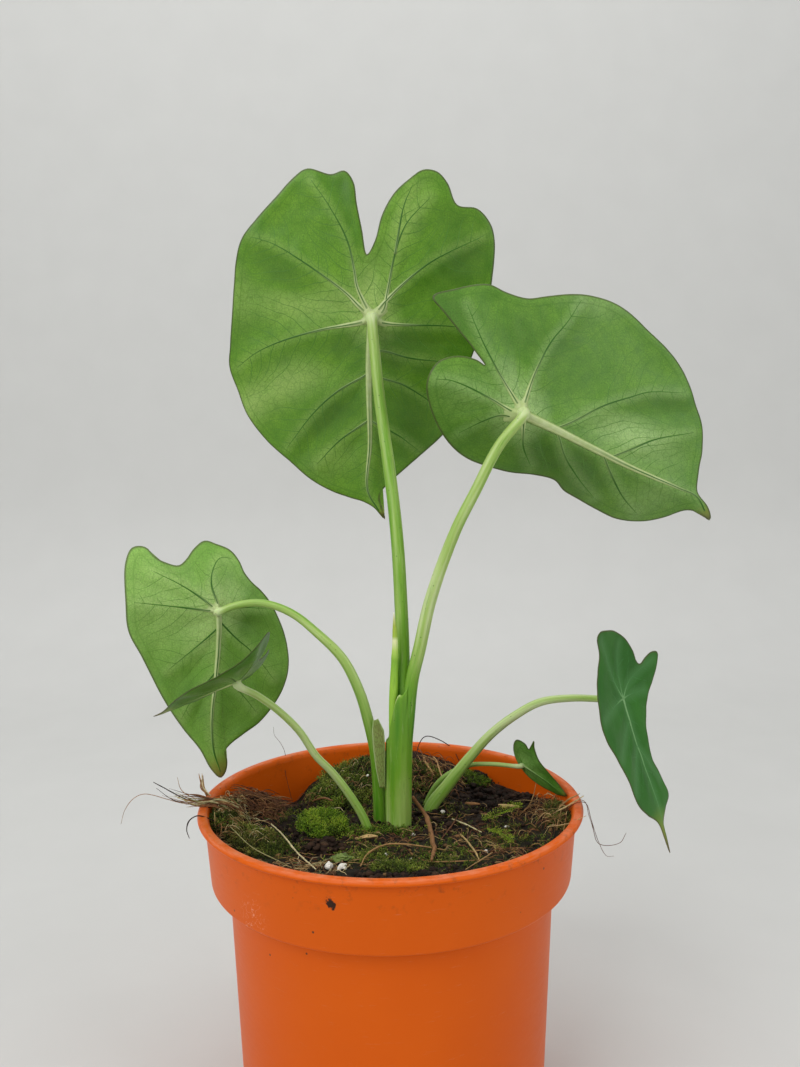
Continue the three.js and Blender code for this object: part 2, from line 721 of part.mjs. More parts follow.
add('pot', potBody(), colours.potPlastic, { roughness: 0.35 });
add('potting_mix', fromSolid(mix), colours.mix, { roughness: 0.95 });
add('corm', cormBody(), colours.cormSkin, { roughness: 0.8 });
for (const leaf of leaves) {
  addLeaf(leaf, leaf.name === 'leaf_2' ? fromSolid(sheathedStalk) : rod(stalks[leaf.name]));
}
add('new_leaf_spear', rod(newLeaf), colours.newLeaf, { roughness: 0.4 });
add('leaf_3_papery_sheath', paperySheathBody(), colours.paperySheath, { roughness: 0.7 });
for (const cushion of cushions) {
  add(cushion.name, cushionBody(cushion), cushion.colour, { roughness: 0.95 });
}
for (const strand of strands) {
  add(strand.name, strandBody(strand), strand.colour, { roughness: 0.8 });
}
grains.forEach((grain, i) => {
  add(`perlite_grain_${i + 1}`, grainBody(grain), colours.perlite, { roughness: 0.9 });
});
for (const { name, radius, colour, route } of rimTwigs) {
  const radii = [radius, radius * twigTaper];
  const body = rod({ route, radii, sides: strandSides, steps: strandSteps });
  add(name, body, colour, { roughness: 0.85 });
}

export default plant;
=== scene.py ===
# %% [markdown]
# # A potted frydek alocasia
#
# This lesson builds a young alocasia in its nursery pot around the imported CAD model. The CAD gives
# the places and sizes in metres, with the origin at the centre of the pot's underside and +Z up.
# Each CAD body is then stood for by a finer mesh with a procedural material.

# %% Load the frame
import functools
import math

import bmesh
import bpy
import numpy as np
from mathutils import Matrix, Vector


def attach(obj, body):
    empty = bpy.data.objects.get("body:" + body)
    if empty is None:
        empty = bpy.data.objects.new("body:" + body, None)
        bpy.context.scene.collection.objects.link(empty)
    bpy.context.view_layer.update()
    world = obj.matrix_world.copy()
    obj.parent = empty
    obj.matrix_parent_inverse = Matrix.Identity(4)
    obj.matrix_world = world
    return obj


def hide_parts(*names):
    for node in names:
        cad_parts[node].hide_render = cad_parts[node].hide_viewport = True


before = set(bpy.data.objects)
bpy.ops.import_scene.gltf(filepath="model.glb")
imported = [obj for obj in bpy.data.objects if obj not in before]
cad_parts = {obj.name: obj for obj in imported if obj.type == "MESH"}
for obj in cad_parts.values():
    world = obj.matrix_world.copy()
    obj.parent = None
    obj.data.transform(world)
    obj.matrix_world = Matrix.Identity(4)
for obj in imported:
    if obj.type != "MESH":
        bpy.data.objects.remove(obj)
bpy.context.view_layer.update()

print("CAD nodes:", len(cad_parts))

# %% [markdown]
# ## The camera
#
# The picture was taken from 23 cm in front of the pot's axis, as high as the middle of the leaf
# stalks and looking almost level. That place was found from the ellipse of the pot's rim. The lens
# is worked out from the picture's height in pixels, because Blender's sensor width is for the
# longer side.

# %% Camera
MM = 0.001
PICTURE_HEIGHT = 1067
FOCAL_PIXELS = 840
CAMERA_PLACE_MM = (3.5, -230.5, 175.3)
PITCH_DOWN = 2.54
ROLL = -0.733

camera = bpy.data.objects.new("camera", bpy.data.cameras.new("camera"))
bpy.context.scene.collection.objects.link(camera)
camera.data.sensor_width = 36
camera.data.lens = FOCAL_PIXELS / PICTURE_HEIGHT * camera.data.sensor_width
camera.data.clip_start = 0.01
aim = Matrix.Rotation(math.radians(90 - PITCH_DOWN), 4, "X")
aim = aim @ Matrix.Rotation(math.radians(ROLL), 4, "Z")
camera.matrix_world = Matrix.Translation(Vector(CAMERA_PLACE_MM) * MM) @ aim
bpy.context.scene.camera = camera
print("lens", round(camera.data.lens, 2), "mm")

# %% [markdown]
# ## Materials from nodes
#
# Colours are picked as sRGB hex values, the way a paint program shows them, and Blender wants them
# linear, so one function converts them. Another adds a shader node. It takes its inputs by number or
# by name, with _ for a space, and makes a link where the value is a node. Mix nodes mix colours.


# %% Colours and nodes
def linear(colour):
    """An sRGB hex colour as linear RGBA."""
    parts = [int(colour[i : i + 2], 16) / 255 for i in (1, 3, 5)]
    return tuple(c / 12.92 if c <= 0.04045 else ((c + 0.055) / 1.055) ** 2.4 for c in parts) + (1.0,)


def add_node(tree, kind, *inputs, **settings):
    """Adds a node. A value is a node to link, a (node, output) pair, a colour or a number."""
    node = tree.nodes.new("ShaderNode" + kind)
    if kind == "Mix":
        node.data_type = "RGBA"
    for key, value in [*enumerate(inputs), *settings.items()]:
        if key == "ramp":
            elements = node.color_ramp.elements
            while len(elements) < len(value):
                elements.new(0.5)
            for element, (place, colour) in zip(elements, value):
                element.position, element.color = place, linear(colour)
            continue
        if isinstance(key, str) and hasattr(node, key):
            setattr(node, key, value)
            continue
        if isinstance(key, int):
            socket = node.inputs[key]
        else:
            socket = next(s for s in node.inputs if s.name == key.replace("_", " ") and s.enabled)
        if isinstance(value, bpy.types.Node):
            value = (value, next(s.name for s in value.outputs if s.enabled))
        if isinstance(value, tuple) and isinstance(value[0], bpy.types.Node):
            source = next(s for s in value[0].outputs if s.name == value[1] and s.enabled)
            tree.links.new(source, socket)
        else:
            socket.default_value = linear(value) if isinstance(value, str) else value
    return node


def finish_of(name, paint, **settings):
    """A material. paint(add) returns what goes into the Principled shader's linked sockets."""
    material = bpy.data.materials.new(name)
    material.use_nodes = True
    tree = material.node_tree
    tree.nodes.clear()
    add = functools.partial(add_node, tree)
    shader = add("BsdfPrincipled", **settings, **paint(add))
    add("OutputMaterial", Surface=shader)
    return material


# %% [markdown]
# Two recipes come back in nearly every material. One turns a colour towards another where a value
# passes from start to end. The other makes it darker or lighter there, by a grey that multiplies it.


# %% Colour recipes
def tint(add, colour, other, value, start, end, most=1.0):
    """The colour, turned by up to most to the other as the value passes from start to end."""
    amount = add("MapRange", Value=value, From_Min=start, From_Max=end, To_Max=most)
    return add("Mix", Factor=amount, A=colour, B=other)


def shaded(add, colour, value, start, end, dark, light):
    """The colour times a grey that goes from dark to light as the value passes from start to end."""
    grey = add("MapRange", Value=value, From_Min=start, From_Max=end, To_Min=dark, To_Max=light)
    grey = add("CombineXYZ", X=grey, Y=grey, Z=grey)
    return add("Mix", blend_type="MULTIPLY", Factor=1.0, A=colour, B=grey)


# %% [markdown]
# ## The studio
#
# The plant stands on a plain pale floor that curves up into a backdrop, as in a product photograph.
# A large soft light stands above and to the left of the camera, a weaker one fills from the right,
# and one hangs overhead. The world adds even light from all round.


# %% Floor and backdrop
def paint_paper(add):
    where = add("TexCoord")
    pulp = add("TexNoise", Vector=(where, "Object"), Scale=1 / (40 * MM), Detail=6.0)
    tone = add("Mix", Factor=pulp, A="#c9c9c6", B="#cfcfcc")
    return dict(Base_Color=tone)


# Uncoated paper scatters light evenly, so it stays matt and pale.
paper = finish_of("uncoated grey paper", paint_paper, Roughness=0.9, Specular_IOR_Level=0.2)
SWEEP = [(-1.6, 0), (0.35, 0), (0.46, 0.015), (0.545, 0.06), (0.59, 0.14), (0.605, 0.25), (0.61, 1.9)]
sweep = bpy.data.meshes.new("sweep")
corners = [(x, y, z) for x in (-2.2, 2.2) for y, z in SWEEP]
count = len(SWEEP)
sweep.from_pydata(corners, [], [(i + 1, i, i + count, i + count + 1) for i in range(count - 1)])
sweep.shade_smooth()
sweep.materials.append(paper)
backdrop = bpy.data.objects.new("floor and backdrop", sweep)
bpy.context.scene.collection.objects.link(backdrop)
rounding = backdrop.modifiers.new("rounding", "SUBSURF")
rounding.render_levels = rounding.levels = 3

# %% Lights
LIGHTS = [
    # name, place, target, width and height in m, power in W
    ("window", (-0.75, -0.85, 0.85), (0, 0, 0.14), (0.9, 0.9), 9.0),
    ("fill", (0.95, -0.6, 0.5), (0, 0, 0.12), (0.7, 0.9), 3.2),
    ("ceiling", (0.0, 0.1, 1.15), (0, 0, 0.1), (1.1, 1.1), 7.0),
]
for name, place, target, size, power in LIGHTS:
    data = bpy.data.lights.new(name, "AREA")
    data.shape = "RECTANGLE"
    data.size, data.size_y = size
    data.energy = power
    lamp = bpy.data.objects.new(name, data)
    lamp.location = place
    lamp.rotation_euler = (Vector(target) - Vector(place)).to_track_quat("-Z", "Y").to_euler()
    bpy.context.scene.collection.objects.link(lamp)

world = bpy.data.worlds.new("studio")
world.use_nodes = True
world.node_tree.nodes["Background"].inputs["Color"].default_value = linear("#e6e8ea")
world.node_tree.nodes["Background"].inputs["Strength"].default_value = 0.42
bpy.context.scene.world = world
bpy.context.scene.view_settings.view_transform = "Standard"
print("lights:", len(LIGHTS))

# %% [markdown]
# ## Shapes as arrays
#
# Every shape is worked out as plain arrays in millimetres and becomes a Blender mesh at the end.
# A shape may hold many parts, such as all the leaflets of a moss cushion. Values for the materials
# go along with the points, such as how far a point is from the leaf's margin.

# %% The shape class
made = {}


class Shape:
    """Points in mm, faces with the number of their finish, and named values per point."""

    def __init__(self):
        self.points, self.faces, self.finishes, self.values, self.count = [], [], [], {}, 0

    def add(self, points, faces, finish=0, **values):
        """Adds points and a list of face arrays, each with its own number of corners."""
        points = np.asarray(points, float)
        for name, value in values.items():
            part = (self.count, len(points), np.asarray(value, float))
            self.values.setdefault(name, []).append(part)
        for some in faces if isinstance(faces, list) else [faces]:
            self.faces.append(np.asarray(some, int) + self.count)
            self.finishes.append(np.full(len(some), finish))
        self.points.append(points)
        self.count += len(points)

    def make(self, name, finishes, stands_for=(), weld=False):
        """Makes a Blender object that rides on the root body."""
        mesh = bpy.data.meshes.new(name)
        corners = np.concatenate([f.ravel() for f in self.faces])
        sizes = np.concatenate([np.full(len(f), f.shape[1]) for f in self.faces])
        mesh.vertices.add(self.count)
        mesh.vertices.foreach_set("co", (np.vstack(self.points) * MM).ravel())
        mesh.loops.add(len(corners))
        mesh.loops.foreach_set("vertex_index", corners)
        mesh.polygons.add(len(sizes))
        mesh.polygons.foreach_set("loop_start", np.concatenate([[0], np.cumsum(sizes)[:-1]]))
        mesh.polygons.foreach_set("material_index", np.concatenate(self.finishes))
        mesh.update(calc_edges=True)
        mesh.shade_smooth()
        for key, parts in self.values.items():
            vector = parts[0][2].shape[-1:] == (3,)
            data = np.zeros((self.count, 3) if vector else self.count)
            for start, length, value in parts:
                data[start : start + length] = value
            kind = "FLOAT_VECTOR" if vector else "FLOAT"
            attribute = mesh.attributes.new(key, kind, "POINT")
            attribute.data.foreach_set("vector" if vector else "value", data.ravel())
        for finish in finishes:
            mesh.materials.append(finish)
        if weld:
            work = bmesh.new()
            work.from_mesh(mesh)
            bmesh.ops.remove_doubles(work, verts=work.verts, dist=0.002 * MM)
            work.to_mesh(mesh)
            work.free()
        piece = bpy.data.objects.new(name, mesh)
        bpy.context.scene.collection.objects.link(piece)
        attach(piece, "root")
        if stands_for:
            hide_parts(*stands_for)
        made[name] = int((sizes - 2).sum())
        print(f"{name}: {made[name]} triangles")
        return piece


# %% Curves and grids
def unit(vector):
    vector = np.asarray(vector, float)
    return vector / np.linalg.norm(vector, axis=-1, keepdims=True)


def evenly(points, count):
    """Points spread evenly along a polyline."""
    points = np.asarray(points, float)
    reach = np.concatenate([[0], np.cumsum(np.linalg.norm(np.diff(points, axis=0), axis=1))])
    at = np.linspace(0, reach[-1], count)
    return np.column_stack([np.interp(at, reach, column) for column in points.T])


def smooth_curve(points, spacing, closed=False):
    """Points about spacing apart on a centripetal Catmull-Rom curve through the given ones."""
    p = np.asarray(points, float)
    if closed:
        p = np.vstack([p[-1:], p, p[:2]])
    else:
        p = np.vstack([2 * p[:1] - p[1:2], p, 2 * p[-1:] - p[-2:-1]])
    dense = []
    for a, b, c, d in zip(p, p[1:], p[2:], p[3:]):
        t1, t2, t3 = np.cumsum([math.sqrt(np.linalg.norm(q - r)) for q, r in ((a, b), (b, c), (c, d))])
        t = np.linspace(t1, t2, 12, endpoint=False)[:, None]
        ab = (t1 - t) / t1 * a + t / t1 * b
        bc = (t2 - t) / (t2 - t1) * b + (t - t1) / (t2 - t1) * c
        cd = (t3 - t) / (t3 - t2) * c + (t - t2) / (t3 - t2) * d
        abc = (t2 - t) / t2 * ab + t / t2 * bc
        bcd = (t3 - t) / (t3 - t1) * bc + (t - t1) / (t3 - t1) * cd
        dense.append((t2 - t) / (t2 - t1) * abc + (t - t1) / (t2 - t1) * bcd)
    dense = np.vstack(dense + [p[-2:-1]])
    length = np.linalg.norm(np.diff(dense, axis=0), axis=1).sum()
    return evenly(dense, max(3, int(round(length / spacing)) + 1))


def grid_faces(rows, columns, wrap=False):
    """Quads of a grid of rows by columns. With wrap the last column joins the first."""
    r, c = np.meshgrid(np.arange(rows - 1), np.arange(columns - (not wrap)), indexing="ij")
    nxt = (c + 1) % columns
    corners = [r * columns + c, r * columns + nxt, (r + 1) * columns + nxt, (r + 1) * columns + c]
    return np.stack(corners, -1).reshape(-1, 4)


def smooth_noise(points, size, seed=0):
    """Noise from -1 to 1 with swells of the given size in mm, the same on every run."""
    points = np.atleast_2d(np.asarray(points, float))
    if points.shape[1] == 2:
        points = np.column_stack([points, np.zeros(len(points))])
    place = points / size + 512.0
    cell = np.floor(place).astype(np.int64)
    share = place - cell
    share = share * share * (3 - 2 * share)
    total = np.zeros(len(points))
    for corner in np.ndindex(2, 2, 2):
        key = (cell + corner) @ np.array([73856093, 19349663, 83492791]) + seed * 2654435
        key = ((key ^ (key >> 13)) * 1274126177) & 0x7FFFFFFF
        value = ((key ^ (key >> 16)) & 0xFFFF) / 32767.5 - 1
        total += np.prod(np.where(corner, share, 1 - share), axis=1) * value
    return total


# %% [markdown]
# Stalks, roots, straws and hairs are all tubes: a ring of points carried along a curve without
# twisting, with a closed end at both sides.


# %% Tubes
def path_frames(path):
    """Tangents and two side directions that follow a path without twisting."""
    tangents = unit(np.gradient(path, axis=0))
    helper = [0.3, 0.2, 1.0] if abs(tangents[0][2]) < 0.9 else [0.0, 1.0, 0.0]
    sides = [unit(np.cross(tangents[0], helper))]
    for tangent in tangents[1:]:
        sides.append(unit(sides[-1] - tangent * (sides[-1] @ tangent)))
    sides = np.array(sides)
    return tangents, sides, np.cross(tangents, sides)


def add_tube(shape, path, radii, sides=6, finish=0, swell=None, **values):
    """Adds a tube. Its share of the length is a value, and swell(share, angle) is a factor."""
    path = np.asarray(path, float)
    rows = len(path)
    _, across, up = path_frames(path)
    share = np.linspace(0, 1, rows)
    radii = np.interp(share, np.linspace(0, 1, len(radii)), radii)
    angle = np.arange(sides) * 2 * np.pi / sides
    ring = np.cos(angle)[None, :, None] * across[:, None] + np.sin(angle)[None, :, None] * up[:, None]
    reach = np.broadcast_to(radii[:, None], (rows, sides))
    if swell is not None:
        reach = reach * swell(share[:, None], angle[None, :])
    points = (path[:, None] + ring * reach[:, :, None]).reshape(-1, 3)
    points = np.vstack([points, path[:1], path[-1:]])
    step = np.arange(sides)
    nxt = (step + 1) % sides
    start, last = rows * sides, (rows - 1) * sides
    first_cap = np.column_stack([np.full(sides, start), nxt, step])
    last_cap = np.column_stack([np.full(sides, start + 1), last + step, last + nxt])
    along = np.append(np.repeat(share, sides), [0, 1])
    values = {key: value(along) if callable(value) else value for key, value in values.items()}
    faces = [grid_faces(rows, sides, wrap=True), first_cap, last_cap]
    shape.add(points, faces, finish, share=along, **values)


# %% [markdown]
# ## The pot
#
# The pot is injection-moulded polypropylene: a thin wall, a thicker band at the top with a small
# lip, and a foot with a raised channel that the six drain holes go through. It is a turned shape,
# so one outline is enough. Its corners are softened, because a mould can't make a sharp one, and it
# is a rounded corner that catches the light.

# %% Pot outline
POT_WALL = 1.2
wall_line = [
    (0, 0), (14, 0), (15.5, 2.5), (27, 2.5), (28.5, 0), (36, 0), (38.5, 1.1), (41, 4.5),
    (44.4, 72.8), (49.1, 73.4), (50.6, 90.6),
]
lip_line = [(52.25, 90.6), (52.5, 91.1), (52.0, 92.0), (50.1, 92.0)]


def inset(line, distance):
    """Moves an open line to its left, with mitred corners."""
    line = np.asarray(line, float)
    steps = unit(np.diff(line, axis=0))
    before, after = np.vstack([steps[:1], steps]), np.vstack([steps, steps[-1:]])
    mitre = (before + after) / (1 + (before * after).sum(1, keepdims=True))
    return line + np.column_stack([-mitre[:, 1], mitre[:, 0]]) * distance


def softened(line, radius, steps=6):
    """Rounds the corners of an open line."""
    line = np.asarray(line, float)
    out = [line[:1]]
    for a, p, b in zip(line, line[1:], line[2:]):
        reach = min(radius, 0.45 * np.linalg.norm(a - p), 0.45 * np.linalg.norm(b - p))
        start, end = p + unit(a - p) * reach, p + unit(b - p) * reach
        t = np.linspace(0, 1, steps)[:, None]
        out.append((1 - t) ** 2 * start + 2 * t * (1 - t) * p + t * t * end)
    return np.vstack(out + [line[-1:]])


pot_outline = wall_line + lip_line + [tuple(p) for p in inset(wall_line, POT_WALL)[::-1]]
pot_outline = softened(pot_outline, 0.8)
print("outline points:", len(pot_outline))


# %% [markdown]
# The lathe is a ring of copies of the outline. The drain holes are then drilled with a Boolean
# modifier, which is applied at once, so that only the drilled mesh stays.


# %% Pot mesh
def turn(profile, sides):
    """Turns a (radius, height) profile about Z. One that runs out and up faces outwards."""
    angle = np.arange(sides) * 2 * np.pi / sides
    profile = np.asarray(profile, float)
    r, z = profile[:, :1], profile[:, 1:]
    points = np.stack([r * np.cos(angle), r * np.sin(angle), np.broadcast_to(z, (len(r), sides))], -1)
    return points.reshape(-1, 3), grid_faces(len(profile), sides, wrap=True)


DRAIN_HOLES, DRAIN_CIRCLE, DRAIN_RADIUS = 6, 21.2, 4.0
pot_shape = Shape()
pot_shape.add(*turn(pot_outline, 192))
drills = bmesh.new()
for i in range(DRAIN_HOLES):
    turned_by = (i + 0.5) * 2 * math.pi / DRAIN_HOLES
    place = Vector((math.cos(turned_by), math.sin(turned_by), 0)) * DRAIN_CIRCLE * MM
    radius = DRAIN_RADIUS * MM
    bmesh.ops.create_cone(
        drills, cap_ends=True, segments=48, radius1=radius, radius2=radius, depth=12 * MM,
        matrix=Matrix.Translation(place),
    )
drill_mesh = bpy.data.meshes.new("drills")
drills.to_mesh(drill_mesh)
drills.free()


def drilled(piece, cutter_mesh):
    """Cuts the cutters out of a piece for good."""
    cutter = bpy.data.objects.new("cutter", cutter_mesh)
    bpy.context.scene.collection.objects.link(cutter)
    modifier = piece.modifiers.new("drill", "BOOLEAN")
    modifier.object = cutter
    modifier.solver = "EXACT"
    shown = piece.evaluated_get(bpy.context.evaluated_depsgraph_get())
    mesh = bpy.data.meshes.new_from_object(shown)
    piece.modifiers.clear()
    piece.data = mesh
    bpy.data.objects.remove(cutter)
    bpy.data.meshes.remove(cutter_mesh)


# %% [markdown]
# Terracotta-coloured polypropylene is glossy but not quite smooth: the mould's skin gives a soft
# sheen, and handling leaves fine scuffs round the band. Damp soil has left specks and a thin film
# of dirt near the rim.


# %% Pot finish
CLOT_PLACE = (-12.9 * MM, -48.6 * MM, 85.3 * MM)
SCRATCH_PLACE = (-32.0 * MM, -37.0 * MM, 77.0 * MM)


def paint_pot(add):
    where = (add("TexCoord"), "Object")
    batch = add("TexNoise", Vector=where, Scale=1 / (30 * MM), Detail=3.0)
    colour = add("Mix", Factor=batch, A="#d65808", B="#e2640e")
    # Scuffs run mostly round the pot, at most 0.6 mm wide and 5 mm long.
    stretch = add("Mapping", Vector=where, Scale=(1.0, 1.0, 9.0), Rotation=(0.25, 0.1, 0))
    scuff = add("TexNoise", Vector=stretch, Scale=1 / (5 * MM), Detail=8.0, Roughness=0.65)
    colour = tint(add, colour, "#d98a68", scuff, 0.62, 0.72, 0.35)
    # Specks of dried peat, 0.5 mm across. Their cells are 7 mm wide, and few centres lie on the wall.
    cells = add("TexVoronoi", Vector=where, Scale=1 / (7 * MM))
    colour = tint(add, colour, "#5e3a28", (cells, "Distance"), 0.05, 0.03)
    # Dirt gathers above the soil line, inside the wall and in patches on the lip.
    height = add("SeparateXYZ", Vector=where)
    near_rim = add("MapRange", Value=(height, "Z"), From_Min=0.080, From_Max=0.092, To_Max=0.6)
    patches = add("TexNoise", Vector=where, Scale=1 / (3 * MM), Detail=7.0, Roughness=0.7)
    film = add("MapRange", Value=patches, From_Min=0.56, From_Max=0.72)
    film = add("Math", film, near_rim, operation="MULTIPLY")
    colour = add("Mix", Factor=film, A=colour, B="#6b3520")
    # The top of the lip gets a pale painted highlight, in patches where the scuff noise is high.
    painted_lip_highlight = add("MapRange", Value=(height, "Z"), From_Min=0.0912, From_Max=0.0919, To_Max=0.3)
    lip_highlight_patches = add("MapRange", Value=scuff, From_Min=0.4, From_Max=0.62)
    painted_lip_highlight = add("Math", painted_lip_highlight, lip_highlight_patches, operation="MULTIPLY")
    colour = add("Mix", Factor=painted_lip_highlight, A=colour, B="#eaa98a")
    # A clot of soil, 3 mm across, has dried on the front, and curly scratches lie at the left.
    from_clot = add("VectorMath", where, CLOT_PLACE, operation="DISTANCE")
    ragged = add("TexNoise", Vector=where, Scale=1 / (0.9 * MM), Detail=4.0)
    ragged = add("Math", ragged, 2.8 * MM, (from_clot, "Value"), operation="MULTIPLY_ADD")
    colour = tint(add, colour, "#38241a", ragged, 2.6 * MM, 2.3 * MM)
    curls = add("TexNoise", Vector=where, Scale=1 / (1.6 * MM), Detail=1.0)
    curls = add("MapRange", Value=curls, From_Min=0.5, From_Max=0.53, To_Min=1.0, To_Max=0.0)
    curls = add("Math", curls, 0.5, operation="PINGPONG")
    from_curls = add("VectorMath", where, SCRATCH_PLACE, operation="DISTANCE")
    near = add("MapRange", Value=(from_curls, "Value"), From_Min=6 * MM, From_Max=3 * MM, To_Max=0.9)
    curls = add("Math", curls, near, operation="MULTIPLY")
    colour = add("Mix", Factor=curls, A=colour, B="#f0c0a4")
    skin = add("TexNoise", Vector=where, Scale=1 / (0.6 * MM), Detail=2.0)
    bumps = add("Bump", Height=skin, Strength=0.12, Distance=0.05 * MM)
    rough = add("MapRange", Value=scuff, To_Min=0.3, To_Max=0.52)
    return dict(Base_Color=colour, Roughness=rough, Normal=bumps)


polypropylene = finish_of(
    "moulded terracotta polypropylene", paint_pot, IOR=1.49, Specular_IOR_Level=0.12,
)
pot = pot_shape.make("nursery_pot", [polypropylene], ["pot"], weld=True)
drilled(pot, drill_mesh)
print("pot faces after drilling:", len(pot.data.polygons))

# %% [markdown]
# ## The leaves
#
# An alocasia blade is shaped like an arrowhead with rounded barbs, and the stalk joins it inside
# the notch, on the underside. Each leaf has its own flat frame there: x runs to the tip, y to its
# left, and z out of the upper face. The outline and the way the blade folds and cups are those of
# the CAD. The thick veins are given as lines in that plane, from where the stalk joins.

